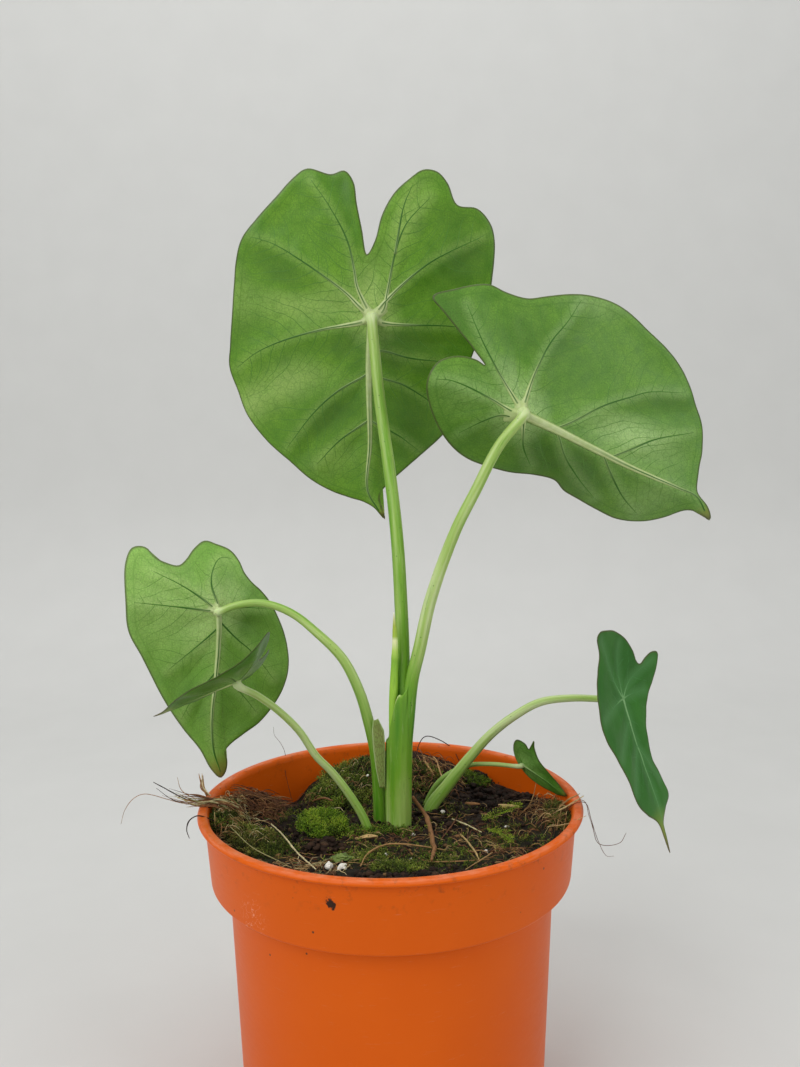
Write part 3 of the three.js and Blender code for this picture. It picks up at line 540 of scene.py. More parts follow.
# %% Leaf data
LEAVES = {
    "leaf_1": dict(
        attach=(-4.1, 25, 229), to_tip=(-0.02, 0.3, -0.95), faces=(0, 0.95, 0.3),
        fold=(0.05, 0.05), cup=(0.002, 0.002), lobe_lift=0.003,
        outline=[
            (64, -4), (60, -0.5), (58, 3), (57, 7), (55, 13), (51, 20), (45, 27), (39, 34), (31, 40),
            (24, 42.5), (16, 45), (10, 44.5), (0, 43), (-9, 42), (-16, 41), (-22, 39), (-28, 34),
            (-34, 28), (-39, 23), (-41.5, 19), (-40, 12), (-41, 8), (-38, 5.5), (-32, 4.5), (-25, 3),
            (-18, 1.5), (-22, -1), (-29, -3), (-35, -6.5), (-39, -11), (-41.5, -15), (-41, -19),
            (-38, -22), (-32, -25), (-31, -31), (-27, -35), (-22, -36.5), (-10, -36), (0, -34.5),
            (8, -32), (14, -30), (22, -28), (30, -26), (36, -22.5), (43, -15), (47, -10.5), (53, -4),
            (56, -2),
        ],
        veins=[
            [(0, 0), (16.2, 1), (38.5, 0.8), (54.1, 1.6), (61, -2)],
            [(0, 0), (-8.9, 4.4), (-13.4, 5.2), (-22.1, 7.3), (-31.7, 12.7), (-38.5, 17.8)],
            [(0, 0), (-3.5, 3.9), (-7.4, 8), (-15.9, 20.5), (-21, 29.8), (-22.7, 36)],
            [(0, 0), (1.2, 3), (3.8, 16.1), (7.7, 28.7), (11.4, 36.4), (16.1, 42.5)],
            [(16.2, 0.7), (17.4, 2.5), (22.2, 10.7), (29.2, 18.4), (41, 27.5)],
            [(0, 0), (-2.1, -3.3), (-7.6, -4.6), (-18.3, -6.8), (-26.6, -10), (-34, -17)],
            [(-18.3, -6.8), (-23.6, -7.7), (-31.9, -9.4), (-37.5, -11.9)],
            [(0, 0), (-4.7, -3.9), (-10.1, -9.5), (-16.3, -17.8), (-23.5, -33)],
            [(0, 0), (1.4, -3.3), (2.4, -23.4), (3.5, -31)],
            [(16.8, 0.7), (18.3, -3.9), (20.2, -9.8), (27, -20), (31, -24)],
            [(9.5, 0.6), (9.8, -3.9), (11.9, -11.6), (13.5, -27)],
            [(31, 0.9), (33.5, 4.5), (38, 10.5), (46, 18)],
            [(31, 0.9), (33, -2.5), (36, -8), (41, -14.5)],
        ],
        stalk=[
            (3, 1.3, 70.3), (3, 1.3, 75.3), (3.4, 1.3, 100), (3.7, 1.3, 118.5), (3.9, 3, 132.4),
            (3.5, 4.5, 146.3), (2.7, 7.5, 162.8), (0.6, 13, 183.8), (-2.1, 18, 204.8), (
                -3.3, 20.8, 219,
            ),
        ],
        radii=(1.75, 1.85, 1.9, 1.9, 1.85, 1.8, 1.75, 1.65, 1.55),
        # Painted highlight and shade zones on the underside: x, y, long, wide, degrees, amount.
        light=[
            (-4, 18, 16, 5, -91, 0.9), (20, 26, 14, 5, -118, 0.9), (28, 39, 4, 5, -94, 0.6),
            (-28, -10, 12, 4, -153, 0.5), (-8, 0, 8, 3, -11, 0.8), (44, 12, 10, 5, -112, 0.4),
            (-10, 24, 11, 4, -61, -0.5), (10, 11, 9, 4, -110, -0.5), (31, 15, 10, 4, -126, -0.55),
            (-20, -27, 10, 7, -139, -0.55), (8, -12, 12, 6, -85, -0.6), (36, -12, 11, 10, -88, -0.55),
            (-36, 8, 8, 3, -11, -0.35), (-7, 40, 10, 3, 3, 0.3),
        ],
    ),
    "leaf_2": dict(
        attach=(37.8, 4, 197.7), to_tip=(0.88, 0.26, -0.39), faces=(-0.24, 0.96, 0.12),
        fold=(0.8, 0.05), cup=(0.012, 0.001), lobe_lift=0.004,
        outline=[
            (70, 4), (66, 1), (61, -1.5), (59.5, -5), (57, -14), (54, -20), (48, -26), (42, -31.5),
            (35, -35), (27, -37.5), (20, -39.5), (13, -40), (6, -38.5), (0, -36), (-6, -32.5),
            (-11, -29.5), (-17, -28.5), (-22, -28.5), (-26, -26.5), (-30, -23.5), (-35, -19),
            (-31, -16.5), (-25, -13.2), (-19, -10), (-15, -7.6), (-18, -8), (-23, -6.8),
            (-27, -3.5), (-28, 0.5), (-27, 4), (-22, 9), (-16, 13), (-10, 15.5), (-4, 16.5),
            (3, 16), (9, 15), (15, 13), (21, 12), (26, 13.5), (32, 14), (39, 14.5), (47, 14.5),
            (54, 12), (58, 8.5), (61, 4.5), (64, 3.5),
        ],
        veins=[
            [(0, 0), (10.6, -0.1), (23.6, 0.1), (37.1, 0.3), (54.3, -0.3), (60.6, -0.4), (66, 2.4)],
            [(0, 0), (-1.4, -1.2), (-11.7, -8), (-18.8, -13.8), (-25.9, -20.9)],
            [(0, 0), (-0.4, -1.6), (-1.2, -10.5), (-0.3, -21.2), (2.1, -28.6), (3.7, -36)],
            [(10.6, -0.1), (15, -4.4), (21.5, -11.9), (28.6, -17.8), (33.9, -21.8), (44, -26)],
            [(11.5, 0.2), (17.4, 4.8), (25.9, 8.8), (35.4, 12)],
            [(0.5, 0.4), (1.9, 2.5), (5.9, 7.4), (12.4, 11.5)],
            [(0, 0), (-1.6, 0.6), (-9.3, 0), (-17.1, -0.4), (-22.6, 0), (-26.1, 1.3)],
            [(0, 0), (-1.7, 1.7), (-5.4, 2.8), (-8.4, 5.9), (-12, 11.4)],
            [(30, 0.2), (34, -3.5), (41, -10), (52, -17)],
            [(27, 0.2), (33, 4), (42, 8.5), (50, 11)],
        ],
        stalk=[
            (3.8, 0, 100), (4.9, -0.6, 112), (6.3, -1, 124.4), (8.4, -1.2, 133), (11.6, -1.5, 146.8),
            (18.7, -2, 165.9), (24.3, -2.2, 176.7), (30.7, -1.8, 188.7),
        ],
        radii=(1.8, 1.8, 1.8, 1.75, 1.65, 1.55, 1.5, 1.45, 1.4),
        light=[
            (34, -8, 13, 5, -6, 1.0), (-6, -7, 8, 4, 34, 0.6), (8, -37, 9, 3, -17, 0.4),
            (14, 8, 16, 5, 10, -0.7), (24, 4, 8, 3, 26, -0.5), (-6, -20, 12, 5, -25, -0.4),
            (36, -20, 12, 3, -20, -0.5), (-28, -16, 7, 5, 27, -0.55), (50, 5, 8, 6, -49, 0.35),
            (-16, 1, 8, 5, -4, 0.3),
        ],
    ),
    "leaf_3": dict(
        attach=(-48.9, 8, 143.3), to_tip=(-0.04, 0.13, -0.99), faces=(-0.5, 0.86, 0.13),
        fold=(0.1, 0.1), cup=(0.002, 0.002), lobe_lift=0.022,
        outline=[
            (51, -0.5), (49.5, -2), (46, -2.5), (43, -1.8), (41, -4), (39, -8), (36, -14), (30, -20),
            (23, -23), (15, -23), (8, -21), (0, -17), (-4, -14), (-7, -11), (-10, -9), (-13, -8),
            (-16, -6), (-18, -2), (-19, 1), (-17, 4.5), (-14.5, 7), (-13, 9.5), (-14, 13),
            (-15.5, 15.5), (-18, 17.5), (-18, 21), (-14, 23.5), (-5, 24.5), (4, 24), (11, 21),
            (17, 18.5), (23, 16), (29, 13), (35, 9.5), (41, 5.5), (48, 2.2),
        ],
        veins=[
            [(0, 0), (2.8, -0.3), (10.2, -0.1), (20.8, 0.9), (31.3, 2), (41.6, 1.7), (49, -0.3)],
            [(0, 0), (-1, -0.2), (-7.7, 1.3), (-11.9, 0.1), (-14.4, -2.5), (-14, -5.8)],
            [(0, 0), (-3.5, 3.7), (-8, 9.6), (-12, 16.5)],
            [(0, 0), (-2.4, 12.5), (-4.2, 22.5)],
            [(4.8, -0.2), (8.2, 3.9), (11.3, 7.9), (16, 14)],
            [(0, 0), (-0.3, -2.3), (0.1, -8.5), (1.5, -15.5)],
            [(2.7, -0.3), (5, -2.2), (8.9, -5.6), (14, -10.7), (24, -18)],
            [(18, 0.7), (21, 3.5), (26, 8), (31, 10.5)],
            [(18, 0.7), (21, -2.5), (26, -7), (33, -12)],
        ],
        stalk=[
            (-3.6, 2.8, 70.3), (-3.6, 2.8, 75.3), (-3.3, 3, 88.3), (-4.1, 2.4, 103), (-5.9, 1.9, 112),
            (-8.5, 1.8, 121.2), (-13.1, 2, 130.4), (-20.6, 3, 137.9), (-26.2, 4, 142.3),
            (-31.9, 4.5, 144.9), (-37.3, 5, 145.8), (-43.6, 4.8, 145),
        ],
        radii=(1.7, 1.75, 1.75, 1.7, 1.55, 1.45, 1.35, 1.2, 1.1, 1.05, 1), veins_show=0.68,
        light=[
            (-2, 14, 14, 10, -27, 0.5), (-6, -6, 5, 6, -86, 0.3), (26, 6, 10, 4, -27, -0.3),
            (4, -8, 6, 4, -79, -0.6), (8, 4, 6, 4, -45, 0.5), (24, -4, 9, 4, 0, -0.35),
        ],
    ),
    "leaf_4": dict(
        attach=(-39.2, -16, 128.3), to_tip=(-0.91, -0.19, -0.36), faces=(-0.37, 0.26, 0.9),
        fold=(0.1, 0.1), cup=(0, 0), lobe_lift=0.04,
        outline=[
            (22, 0.5), (20, 1.5), (18, 3.5), (15.5, 7), (12, 10), (7, 12.5), (0, 13.5), (-6, 13.5),
            (-10.5, 12), (-12.5, 9), (-11.5, 5), (-7.5, 1), (-9.5, -4), (-10.5, -7), (-9.5, -10.5),
            (-6, -13), (0, -14), (7, -13), (13, -10.5), (17, -7), (19, -3.5), (20.5, -1.2),
        ],
        veins=[
            [(0, 0), (8, 0.3), (16, 0.2), (20.5, 0.4)],
            [(0, 0), (-3, 3), (-6.5, 7), (-8.5, 10.5)],
            [(0, 0), (-3, -3), (-6, -6.5), (-7, -10.5)],
            [(0, 0), (0.5, 6), (2, 12)],
            [(0, 0), (0.5, -6), (2, -12.5)],
            [(5, 0.2), (8, 3.5), (11.5, 8.5)],
            [(5, 0.2), (8, -4), (12, -9.5)],
        ],
        stalk=[
            (-4.9, -3.4, 70.3), (-4.9, -3.4, 75.3), (-6.9, -2.4, 85.2), (-10.9, -3, 92.9),
            (-15.9, -4, 100.2), (-20, -5.5, 105.2), (-24.3, -7.2, 112.6), (-29.8, -9.6, 119.1),
            (-34.6, -13, 123.9),
        ],
        radii=(1.2, 1.25, 1.15, 1.05, 1, 1, 0.95, 0.9), veins_show=0.75,
    ),
    "leaf_5": dict(
        attach=(63.4, -4, 119.4), to_tip=(0.24, -0.24, -0.94), faces=(0.7, -0.63, 0.34),
        fold=(0.12, 0.2), twist=(-0.008, 0), cup=(0, 0), lobe_lift=0.012,
        outline=[
            (41, 0), (37, 0.5), (34, 1), (31, 5), (28, 9.5), (24, 9), (19.5, 7.2), (14, 6.3),
            (7.5, 7.5), (1.6, 11.8), (-2.6, 16), (-6.5, 19.2), (-9.4, 19.6), (-10, 17), (-9, 13.8),
            (-7.6, 10.8), (-8.8, 8.9), (-12, 7.5), (-15.7, 4.2), (-18, -1), (-18.5, -6),
            (-18.4, -10.4), (-17, -12.6), (-13, -11), (-9, -13.5), (-5, -16), (-1, -18.7),
            (4, -20), (8, -19), (14, -15.6), (21, -12.2), (26, -10.5), (29.5, -6.5), (33, -1.5),
            (37, -0.8),
        ],
        veins=[
            [(0, 0), (10, 0.2), (20, 0.8), (30, 1.5), (38.5, -0.1)],
            [(0, 0), (-4, 5), (-6.5, 11), (-8, 17)],
            [(0, 0), (-6, -3), (-12, -6), (-16, -9.5)],
            [(0, 0), (-0.5, 4), (-0.5, 11)],
            [(0, 0), (1, -6), (3.5, -17)],
            [(6, 0.1), (9, -5), (14, -13)],
            [(13, 0.3), (17, -4), (23, -9.5)],
            [(13, 0.3), (17, 3), (23, 7)],
            [(0, 0), (-9, 1), (-14.5, 2)],
        ],
        stalk=[
            (7.4, 3.4, 70.3), (7.4, 3.4, 75.3), (9.8, 7.4, 81), (11.6, 9, 85.5), (16.1, 9, 91.4),
            (22.8, 8, 100.1), (28.7, 6, 107.3), (35.4, 3, 113.5), (42, 0.5, 117.7), (50.3, -0.3, 118.9),
            (57, -0.8, 118.8),
        ],
        radii=(1.7, 1.8, 1.9, 1.65, 1.4, 1.25, 1.15, 1.05, 0.95, 0.9),
    ),
    "leaf_6": dict(
        attach=(38.5, 10, 97.1), to_tip=(0.67, -0.65, -0.35), faces=(0.74, 0.55, 0.4),
        fold=(0.1, 0.1), cup=(0, 0), lobe_lift=0.02,
        outline=[
            (15.5, 0.4), (13, 2.6), (10, 3.6), (6, 4.5), (2.5, 4.6), (-0.8, 3.2), (-3, 0.8),
            (-4.4, -2.5), (-4.2, -5.5), (-2.6, -7.8), (0, -8), (1.3, -7), (2, -8.8), (2.8, -11.2),
            (3.1, -8.8), (5, -6), (8.5, -3.6), (13, -1.4),
        ],
        veins=[
            [(0, 0), (7, 0.2), (14, 0.3)],
            [(0, 0), (-1.5, -3), (-2, -6.5)],
            [(0, 0), (1, 3.8)],
            [(3, 0.1), (4.5, -3), (5, -5)],
            [(6, 0.2), (8.5, 3)],
        ],
        stalk=[
            (4.5, 7.4, 70.3), (4.5, 7.4, 75.3), (8.8, 12.6, 82), (12.6, 13.4, 89.4), (16.4, 13, 93.3),
            (22.7, 12, 96.4), (29.2, 10.8, 97.1),
        ],
        radii=(0.8, 0.8, 0.75, 0.68, 0.62, 0.6), veins_show=0.6,
    ),
}
BLADE = 0.45  # thickness in mm; the CAD allows 0.6
EDGE_BULGE = 0.12  # mm
TIP_LENGTHS = (0, 5, 7, 9, 7, 12, 2)  # mm of discoloured tip, by the leaf's number

# %% [markdown]
# The blade isn't a smooth sheet. Its panels swell up between the thick veins, which gives part of
# the underside's broad light and dark areas, and its margin waves a little. Both depend on how far a
# point is from the veins and from the margin. The rest of those areas is painted highlight and shade.


# %% Leaf surface
def distance_to(points, lines):
    """Distance from each point to the nearest of some polylines, in the plane."""
    a = np.vstack([line[:-1] for line in lines])
    step = np.vstack([np.diff(line, axis=0) for line in lines])
    length = np.maximum((step**2).sum(1), 1e-12)
    nearest = np.empty(len(points))
    for start in range(0, len(points), 4000):
        away = points[start : start + 4000, None] - a
        share = np.clip((away * step).sum(2) / length, 0, 1)
        gap = away - share[..., None] * step
        nearest[start : start + 4000] = np.sqrt((gap**2).sum(2).min(1))
    return nearest


def prepare(name, leaf):
    """Adds the leaf's axes, its rim as even points and its veins as smooth lines."""
    x = unit(leaf["to_tip"])
    z = np.asarray(leaf["faces"], float)
    z = unit(z - (z @ x) * x)
    leaf["axes"] = np.array([x, np.cross(z, x), z])
    rim = np.asarray(leaf["outline"], float)
    area = (rim[:, 0] * np.roll(rim[:, 1], -1) - np.roll(rim[:, 0], -1) * rim[:, 1]).sum()
    rim = smooth_curve(rim if area > 0 else rim[::-1], 0.85 if len(rim) > 20 else 0.45, closed=True)[
        :-1
    ]
    leaf["rim"] = rim
    leaf["lines"] = [
        smooth_curve(line, 0.7) if len(line) > 2 else evenly(line, 8) for line in leaf["veins"]
    ]
    leaf["size"] = min(1.0, np.abs(rim).max() / 60 + 0.15)
    leaf["seed"] = int(name[-1])


def height_at(leaf, xy):
    """Height of the blade's middle surface over the leaf's plane: the CAD's, swollen and waved."""
    x, y = xy.T
    side = (y <= 0).astype(int)
    slope = np.take(leaf["fold"], side) + np.take(leaf.get("twist", (0, 0)), side) * x
    fold = slope * (np.hypot(y, 3) - 3)
    bend = np.take(leaf["cup"], side) * y * y + np.where(x < 0, leaf["lobe_lift"] * x * x, 0)
    to_vein = distance_to(xy, leaf["lines"])
    to_rim = distance_to(xy, [np.vstack([leaf["rim"], leaf["rim"][:1]])])
    size = leaf["size"]
    inside = 1 - np.exp(-((to_rim / (3 * size)) ** 2))
    swell = 0.95 * size * (1 - np.exp(-((to_vein / (4.2 * size)) ** 2))) * (0.35 + 0.65 * inside)
    wave = 0.55 * size * smooth_noise(xy, 11 * size, leaf["seed"]) * np.exp(-to_rim / (7 * size))
    uneven = 0.12 * smooth_noise(xy, 3.1, leaf["seed"] + 20)
    return fold + bend + swell + wave + uneven, to_vein, to_rim


def painted_light_at(leaf, xy):
    """Painted highlight and shade in soft oval zones (x, y, long, wide, degrees, amount): 1 pale, -1
    dark.
    """
    total = np.zeros(len(xy))
    for x, y, long, wide, degrees, amount in leaf.get("light", ()):
        c, s = math.cos(math.radians(degrees)), math.sin(math.radians(degrees))
        away = (xy - (x, y)) @ np.array([[c, -s], [s, c]]) / (long, wide)
        total += amount * np.exp(-0.8 * (away**2).sum(1))
    return np.clip(total, -1, 1)


def placed(leaf, xy, height):
    """Points of the leaf's own frame as points of the object."""
    return np.asarray(leaf["attach"]) + np.column_stack([xy, height]) @ leaf["axes"]


for name, leaf in LEAVES.items():
    prepare(name, leaf)
    print(name, "rim points:", len(leaf["rim"]))

# %% [markdown]
# Between the thick veins run fine ones. They leave a thick vein at about 55 degrees, bend towards
# its tip, and fade where they meet the next one or the vein that follows the margin. They are grown
# step by step, and each stops when it comes near another.


# %% Fine veins
def fine_veins(leaf):
    size = leaf["size"]
    rim = [np.vstack([leaf["rim"], leaf["rim"][:1]])]
    grown = []
    for number, line in enumerate(leaf["lines"]):
        steps = np.gradient(line, axis=0)
        reach = np.concatenate([[0], np.cumsum(np.linalg.norm(np.diff(line, axis=0), axis=1))])
        others = [other for k, other in enumerate(leaf["lines"]) if k != number]
        for side in (-1, 1):
            gap = 5.2 * size
            at = 3.4 * size + (side > 0) * gap / 2
            while at < reach[-1] - 2.5:
                k = int(np.searchsorted(reach, at))
                heading = math.atan2(steps[k, 1], steps[k, 0])
                way = heading + side * math.radians(58)
                path = [line[k]]
                for step in range(60):
                    way -= side * math.radians(1.0)
                    wobble = 0.16 * math.sin(step * 0.31 + at * 3 + number) + 0.1 * math.sin(
                        step * 0.9 + at
                    )
                    path.append(
                        path[-1] + 0.55 * np.array([math.cos(way + wobble), math.sin(way + wobble)])
                    )
                path = np.array(path)
                stop = (distance_to(path, others) < 0.45) | (distance_to(path, rim) < 1.9 * size)
                stop[:3] = False
                if grown:
                    stop |= (distance_to(path, grown) < 0.5) & (np.arange(len(path)) > 3)
                end = int(np.argmax(stop)) if stop.any() else 40
                if end > 4:
                    grown.append(path[: end + 1])
                at += gap * (0.7 + 0.6 * ((k * 7 + number * 3) % 10) / 10)
    return [np.vstack([line[:-1:2], line[-1:]]) for line in grown]


for name, leaf in LEAVES.items():
    leaf["fine"] = fine_veins(leaf)
print("fine veins:", {name: len(leaf["fine"]) for name, leaf in LEAVES.items()})

# %% [markdown]
# The blade is a fan of rings from the stalk to the margin, once for each face, joined by a rounded
# edge. A vein is a rib with a half-round section that stands on it. Each rib is a closed strip that
# reaches a little into the blade, so nothing shows at its sides.


# %% Blade and rib meshes
def add_blade(shape, leaf):
    rim = leaf["rim"]
    columns = len(rim)
    rings = max(14, int(np.linalg.norm(rim, axis=1).max() / 1.65))
    shares = np.linspace(0, 1, rings + 1)[1:] ** 0.92
    xy = (rim[None] * shares[:, None, None]).reshape(-1, 2)
    xy = np.vstack([[[0, 0]], xy])
    height, to_vein, to_rim = height_at(leaf, xy)
    half = BLADE / 2 * (0.45 + 0.55 * np.minimum(1, to_rim / 1.2))
    step = np.arange(columns)
    nxt = (step + 1) % columns
    ring_quads = grid_faces(rings, columns, wrap=True) + 1
    centre_fan = np.column_stack([np.zeros(columns, int), step + 1, nxt + 1])
    leaf_place = np.column_stack([xy, np.full(len(xy), leaf["seed"] * 50.0)])
    values = dict(leaf_place=leaf_place, vein_mm=to_vein, rim_mm=to_rim, light=painted_light_at(leaf, xy))
    to_tip = np.linalg.norm(xy - rim[rim[:, 0].argmax()], axis=1)
    values["dry"] = np.clip(1 - to_tip / TIP_LENGTHS[leaf["seed"]], 0, 1)
    start = shape.count
    shape.add(placed(leaf, xy, height - half), [ring_quads, centre_fan[:, ::-1]], 0, **values)
    shape.add(placed(leaf, xy, height + half), [ring_quads[:, ::-1], centre_fan], 1, **values)
    # The edge bulges out by about a quarter of the blade's thickness.
    outward = unit(np.roll(rim, 1, axis=0) - np.roll(rim, -1, axis=0)) @ np.array([[0, 1], [-1, 0]])
    edge = rim + outward * EDGE_BULGE
    edge_values = {key: value[-columns:] for key, value in values.items()}
    edge_start = shape.count
    shape.add(placed(leaf, edge, height[-columns:]), np.zeros((0, 4), int), 0, **edge_values)
    low = start + len(xy) - columns
    high = low + len(xy)
    shape.faces.append(np.column_stack([low + step, low + nxt, edge_start + nxt, edge_start + step]))
    shape.faces.append(np.column_stack([edge_start + step, edge_start + nxt, high + nxt, high + step]))
    shape.finishes += [np.zeros(columns, int), np.ones(columns, int)]


def add_rib(shape, leaf, path, widths, heights, face, finish):
    """A rib along a path. face is -1 for the underside and 1 for the upper face."""
    rows = len(path)
    share = np.linspace(0, 1, rows)
    wide = np.interp(share, np.linspace(0, 1, len(widths)), widths)
    tall = np.interp(share, np.linspace(0, 1, len(heights)), heights)
    way = unit(np.gradient(path, axis=0))
    left = np.column_stack([-way[:, 1], way[:, 0]])
    thin = wide.max() < 0.5
    across = np.array([-1, -0.5, 0.5, 1, 0] if thin else [-1, -0.72, -0.38, 0, 0.38, 0.72, 1, 0])
    rise = np.array([0, 0.9, 0.9, 0, 0] if thin else [0, 0.62, 0.93, 1, 0.93, 0.62, 0, 0])
    sides = len(across)
    xy = path[:, None] + left[:, None] * (across[None, :, None] * wide[:, None, None] / 2)
    xy = xy.reshape(-1, 2)
    if thin:
        # A thin rib lies level across, so its middle is enough.
        height, to_rim = (np.repeat(value, sides) for value in height_at(leaf, path)[::2])
    else:
        height, _, to_rim = height_at(leaf, xy)
    half = BLADE / 2 * (0.45 + 0.55 * np.minimum(1, to_rim / 1.2))
    lift = (rise[None] * tall[:, None] - 0.02).reshape(-1)
    lift[sides - 1 :: sides] = -0.16
    points = placed(leaf, xy, height + face * (half + lift))
    quads = grid_faces(rows, sides, wrap=True)
    ends = np.vstack([np.arange(sides), np.arange(sides)[::-1] + (rows - 1) * sides])
    if face > 0:
        quads, ends = quads[:, ::-1], ends[:, ::-1]
    leaf_place = np.column_stack([xy, np.full(len(xy), leaf["seed"] * 50.0)])
    shape.add(
        points, [quads[:, ::-1], ends], finish, leaf_place=leaf_place,
        rim_mm=to_rim, across=np.tile(across, rows), share=np.repeat(share, sides),
        wide=np.repeat(wide, sides),
    )


# %% [markdown]
# ### Leaf finishes
#
# Frydek leaves feel like suede above and like satin below. The underside is a fresh mid green with
# a fine grain, because light goes a little way in before it comes back. Near the stalk the raised
# veins are pale with a dark line along the middle, and further out they are thin and dark. The
# margin is a purple-brown thread. The upper face is a deep green with pale veins.


# %% Underside finish
def dry_tip(add, colour):
    """The last millimetres of a leaf turn yellow-green, then olive and brown, as they dry out."""
    dry = (add("Attribute", attribute_name="dry"), "Fac")
    ramp = [(0.0, "#84a03a"), (0.6, "#868a38"), (1.0, "#6c5a2a")]
    tip_colour = (add("ValToRGB", Fac=dry, ramp=ramp), "Color")
    amount = add("MapRange", Value=dry, From_Max=0.5, To_Max=0.8)
    return add("Mix", Factor=amount, A=colour, B=tip_colour)


def paint_underside(deep, fresh, pale):
    def paint(add):
        where = (add("Attribute", attribute_name="leaf_place"), "Vector")
        to_vein = (add("Attribute", attribute_name="vein_mm"), "Fac")
        to_rim = (add("Attribute", attribute_name="rim_mm"), "Fac")
        # Soft patches about 16 mm across, then cloudier ones of 4 mm.
        broad = add("TexNoise", Vector=where, Scale=1 / 16, Detail=2.0)
        cloud = add("TexNoise", Vector=where, Scale=1 / 4, Detail=5.0, Roughness=0.6)
        tone = add("Math", broad, cloud, operation="ADD")
        colour = tint(add, deep, fresh, tone, 0.5, 1.45)
        # Painted satin highlights make some zones pale, and painted shade makes others dark.
        light = (add("Attribute", attribute_name="light"), "Fac")
        colour = tint(add, colour, pale, light, 0.0, 1.0, 0.72)
        colour = tint(add, colour, "#35591c", light, 0.0, -1.0, 0.8)
        # The tissue beside a thick vein is paler for about 2 mm.
        colour = tint(add, colour, pale, to_vein, 2.6, 0.3, 0.24)
        # A pale zone spreads 10 mm from where the stalk joins.
        from_stalk = add("VectorMath", where, (1, 1, 0), operation="MULTIPLY")
        from_stalk = add("VectorMath", from_stalk, operation="LENGTH")
        colour = tint(add, colour, pale, (from_stalk, "Value"), 10.0, 1.0, 0.85)
        # The finest veins make a net with meshes of 2.2 mm. Its lines are about 0.2 mm wide.
        bent = add("TexNoise", Vector=where, Scale=1 / 3, Detail=2.0)
        bent = add("VectorMath", (bent, "Color"), operation="SCALE", Scale=1.6)
        bent = add("VectorMath", where, bent, operation="ADD")
        net = add("TexVoronoi", feature="DISTANCE_TO_EDGE", Vector=bent, Scale=1 / 2.2)
        colour = tint(add, colour, deep, (net, "Distance"), 0.09, 0.02, 0.3)
        # Cells show as a grain. Real ones are 0.05 mm, drawn 0.4 mm here so that they show.
        grain = add("TexNoise", Vector=where, Scale=1 / 0.4, Detail=2.0, Roughness=0.7)
        colour = shaded(add, colour, grain, 0.3, 0.7, 0.78, 1.24)
        # A vein follows the margin 2.2 mm inside it, and the margin itself is a dark thread.
        follow = add("Math", to_rim, 2.2, operation="SUBTRACT")
        follow = add("Math", follow, operation="ABSOLUTE")
        colour = tint(add, colour, deep, follow, 0.3, 0.05, 0.4)
        colour = dry_tip(add, colour)
        thread = add("MapRange", Value=to_rim, From_Min=0.5, From_Max=0.12, To_Max=0.75)
        colour = add("Mix", Factor=thread, A=colour, B="#454622")
        rough = add("MapRange", Value=cloud, From_Min=0.3, From_Max=0.7, To_Min=0.40, To_Max=0.52)
        relief = add("Math", grain, thread, operation="SUBTRACT")
        bumps = add("Bump", Height=relief, Strength=0.35, Distance=0.06 * MM)
        return dict(Base_Color=colour, Roughness=rough, Normal=bumps)

    return paint


def underside(name, deep, fresh, pale):
    return finish_of(
        name, paint_underside(deep, fresh, pale), IOR=1.42, Specular_IOR_Level=0.55,
        Subsurface_Weight=0.12, Subsurface_Radius=(0.4, 1.0, 0.2), Subsurface_Scale=0.8 * MM,
    )


UNDERSIDES = {
    "leaf_1": underside("leaf underside, yellowish green satin", "#487c10", "#70a024", "#a8c66c"),
    "leaf_2": underside("leaf underside, greyish green satin", "#487a20", "#6e9c32", "#accb82"),
    "leaf_3": underside("leaf underside, pale green satin", "#649632", "#86b44a", "#b8d284"),
    "leaf_4": underside("leaf underside, dark green satin", "#366a12", "#528e22", "#86b05c"),
}
UNDERSIDES["leaf_5"] = UNDERSIDES["leaf_6"] = UNDERSIDES["leaf_4"]


# %% Vein and upper face finishes
def paint_rib(add):
    across = (add("Attribute", attribute_name="across"), "Fac")
    wide = (add("Attribute", attribute_name="wide"), "Fac")
    where = (add("Attribute", attribute_name="leaf_place"), "Vector")
    off_middle = add("Math", across, operation="ABSOLUTE")
    flank = add("MapRange", Value=off_middle, From_Min=0.1, From_Max=0.4)
    # A rib more than 0.9 mm wide has pale flanks. The broadest are pale all over, the thin dark.
    thick = add("MapRange", Value=wide, From_Min=0.55, From_Max=1.3)
    broad = add("MapRange", Value=wide, From_Min=1.5, From_Max=2.2, To_Max=0.85)
    flank = add("Math", flank, broad, operation="MAXIMUM")
    pale = add("Math", flank, thick, operation="MULTIPLY")
    spots = add("TexNoise", Vector=where, Scale=1 / 1.5, Detail=4.0)
    light = add("Mix", Factor=spots, A="#a9c06c", B="#d6dfae")
    # The finest hardly differ from the tissue, and a broad one takes its colour at the sides.
    faint = add("MapRange", Value=wide, From_Min=0.5, From_Max=0.18, To_Max=0.75)
    dark = add("Mix", Factor=faint, A="#356a18", B="#568a2c")
    colour = add("Mix", Factor=pale, A=dark, B=light)
    return dict(Base_Color=tint(add, colour, "#84ae44", off_middle, 0.6, 1.0, 0.7))


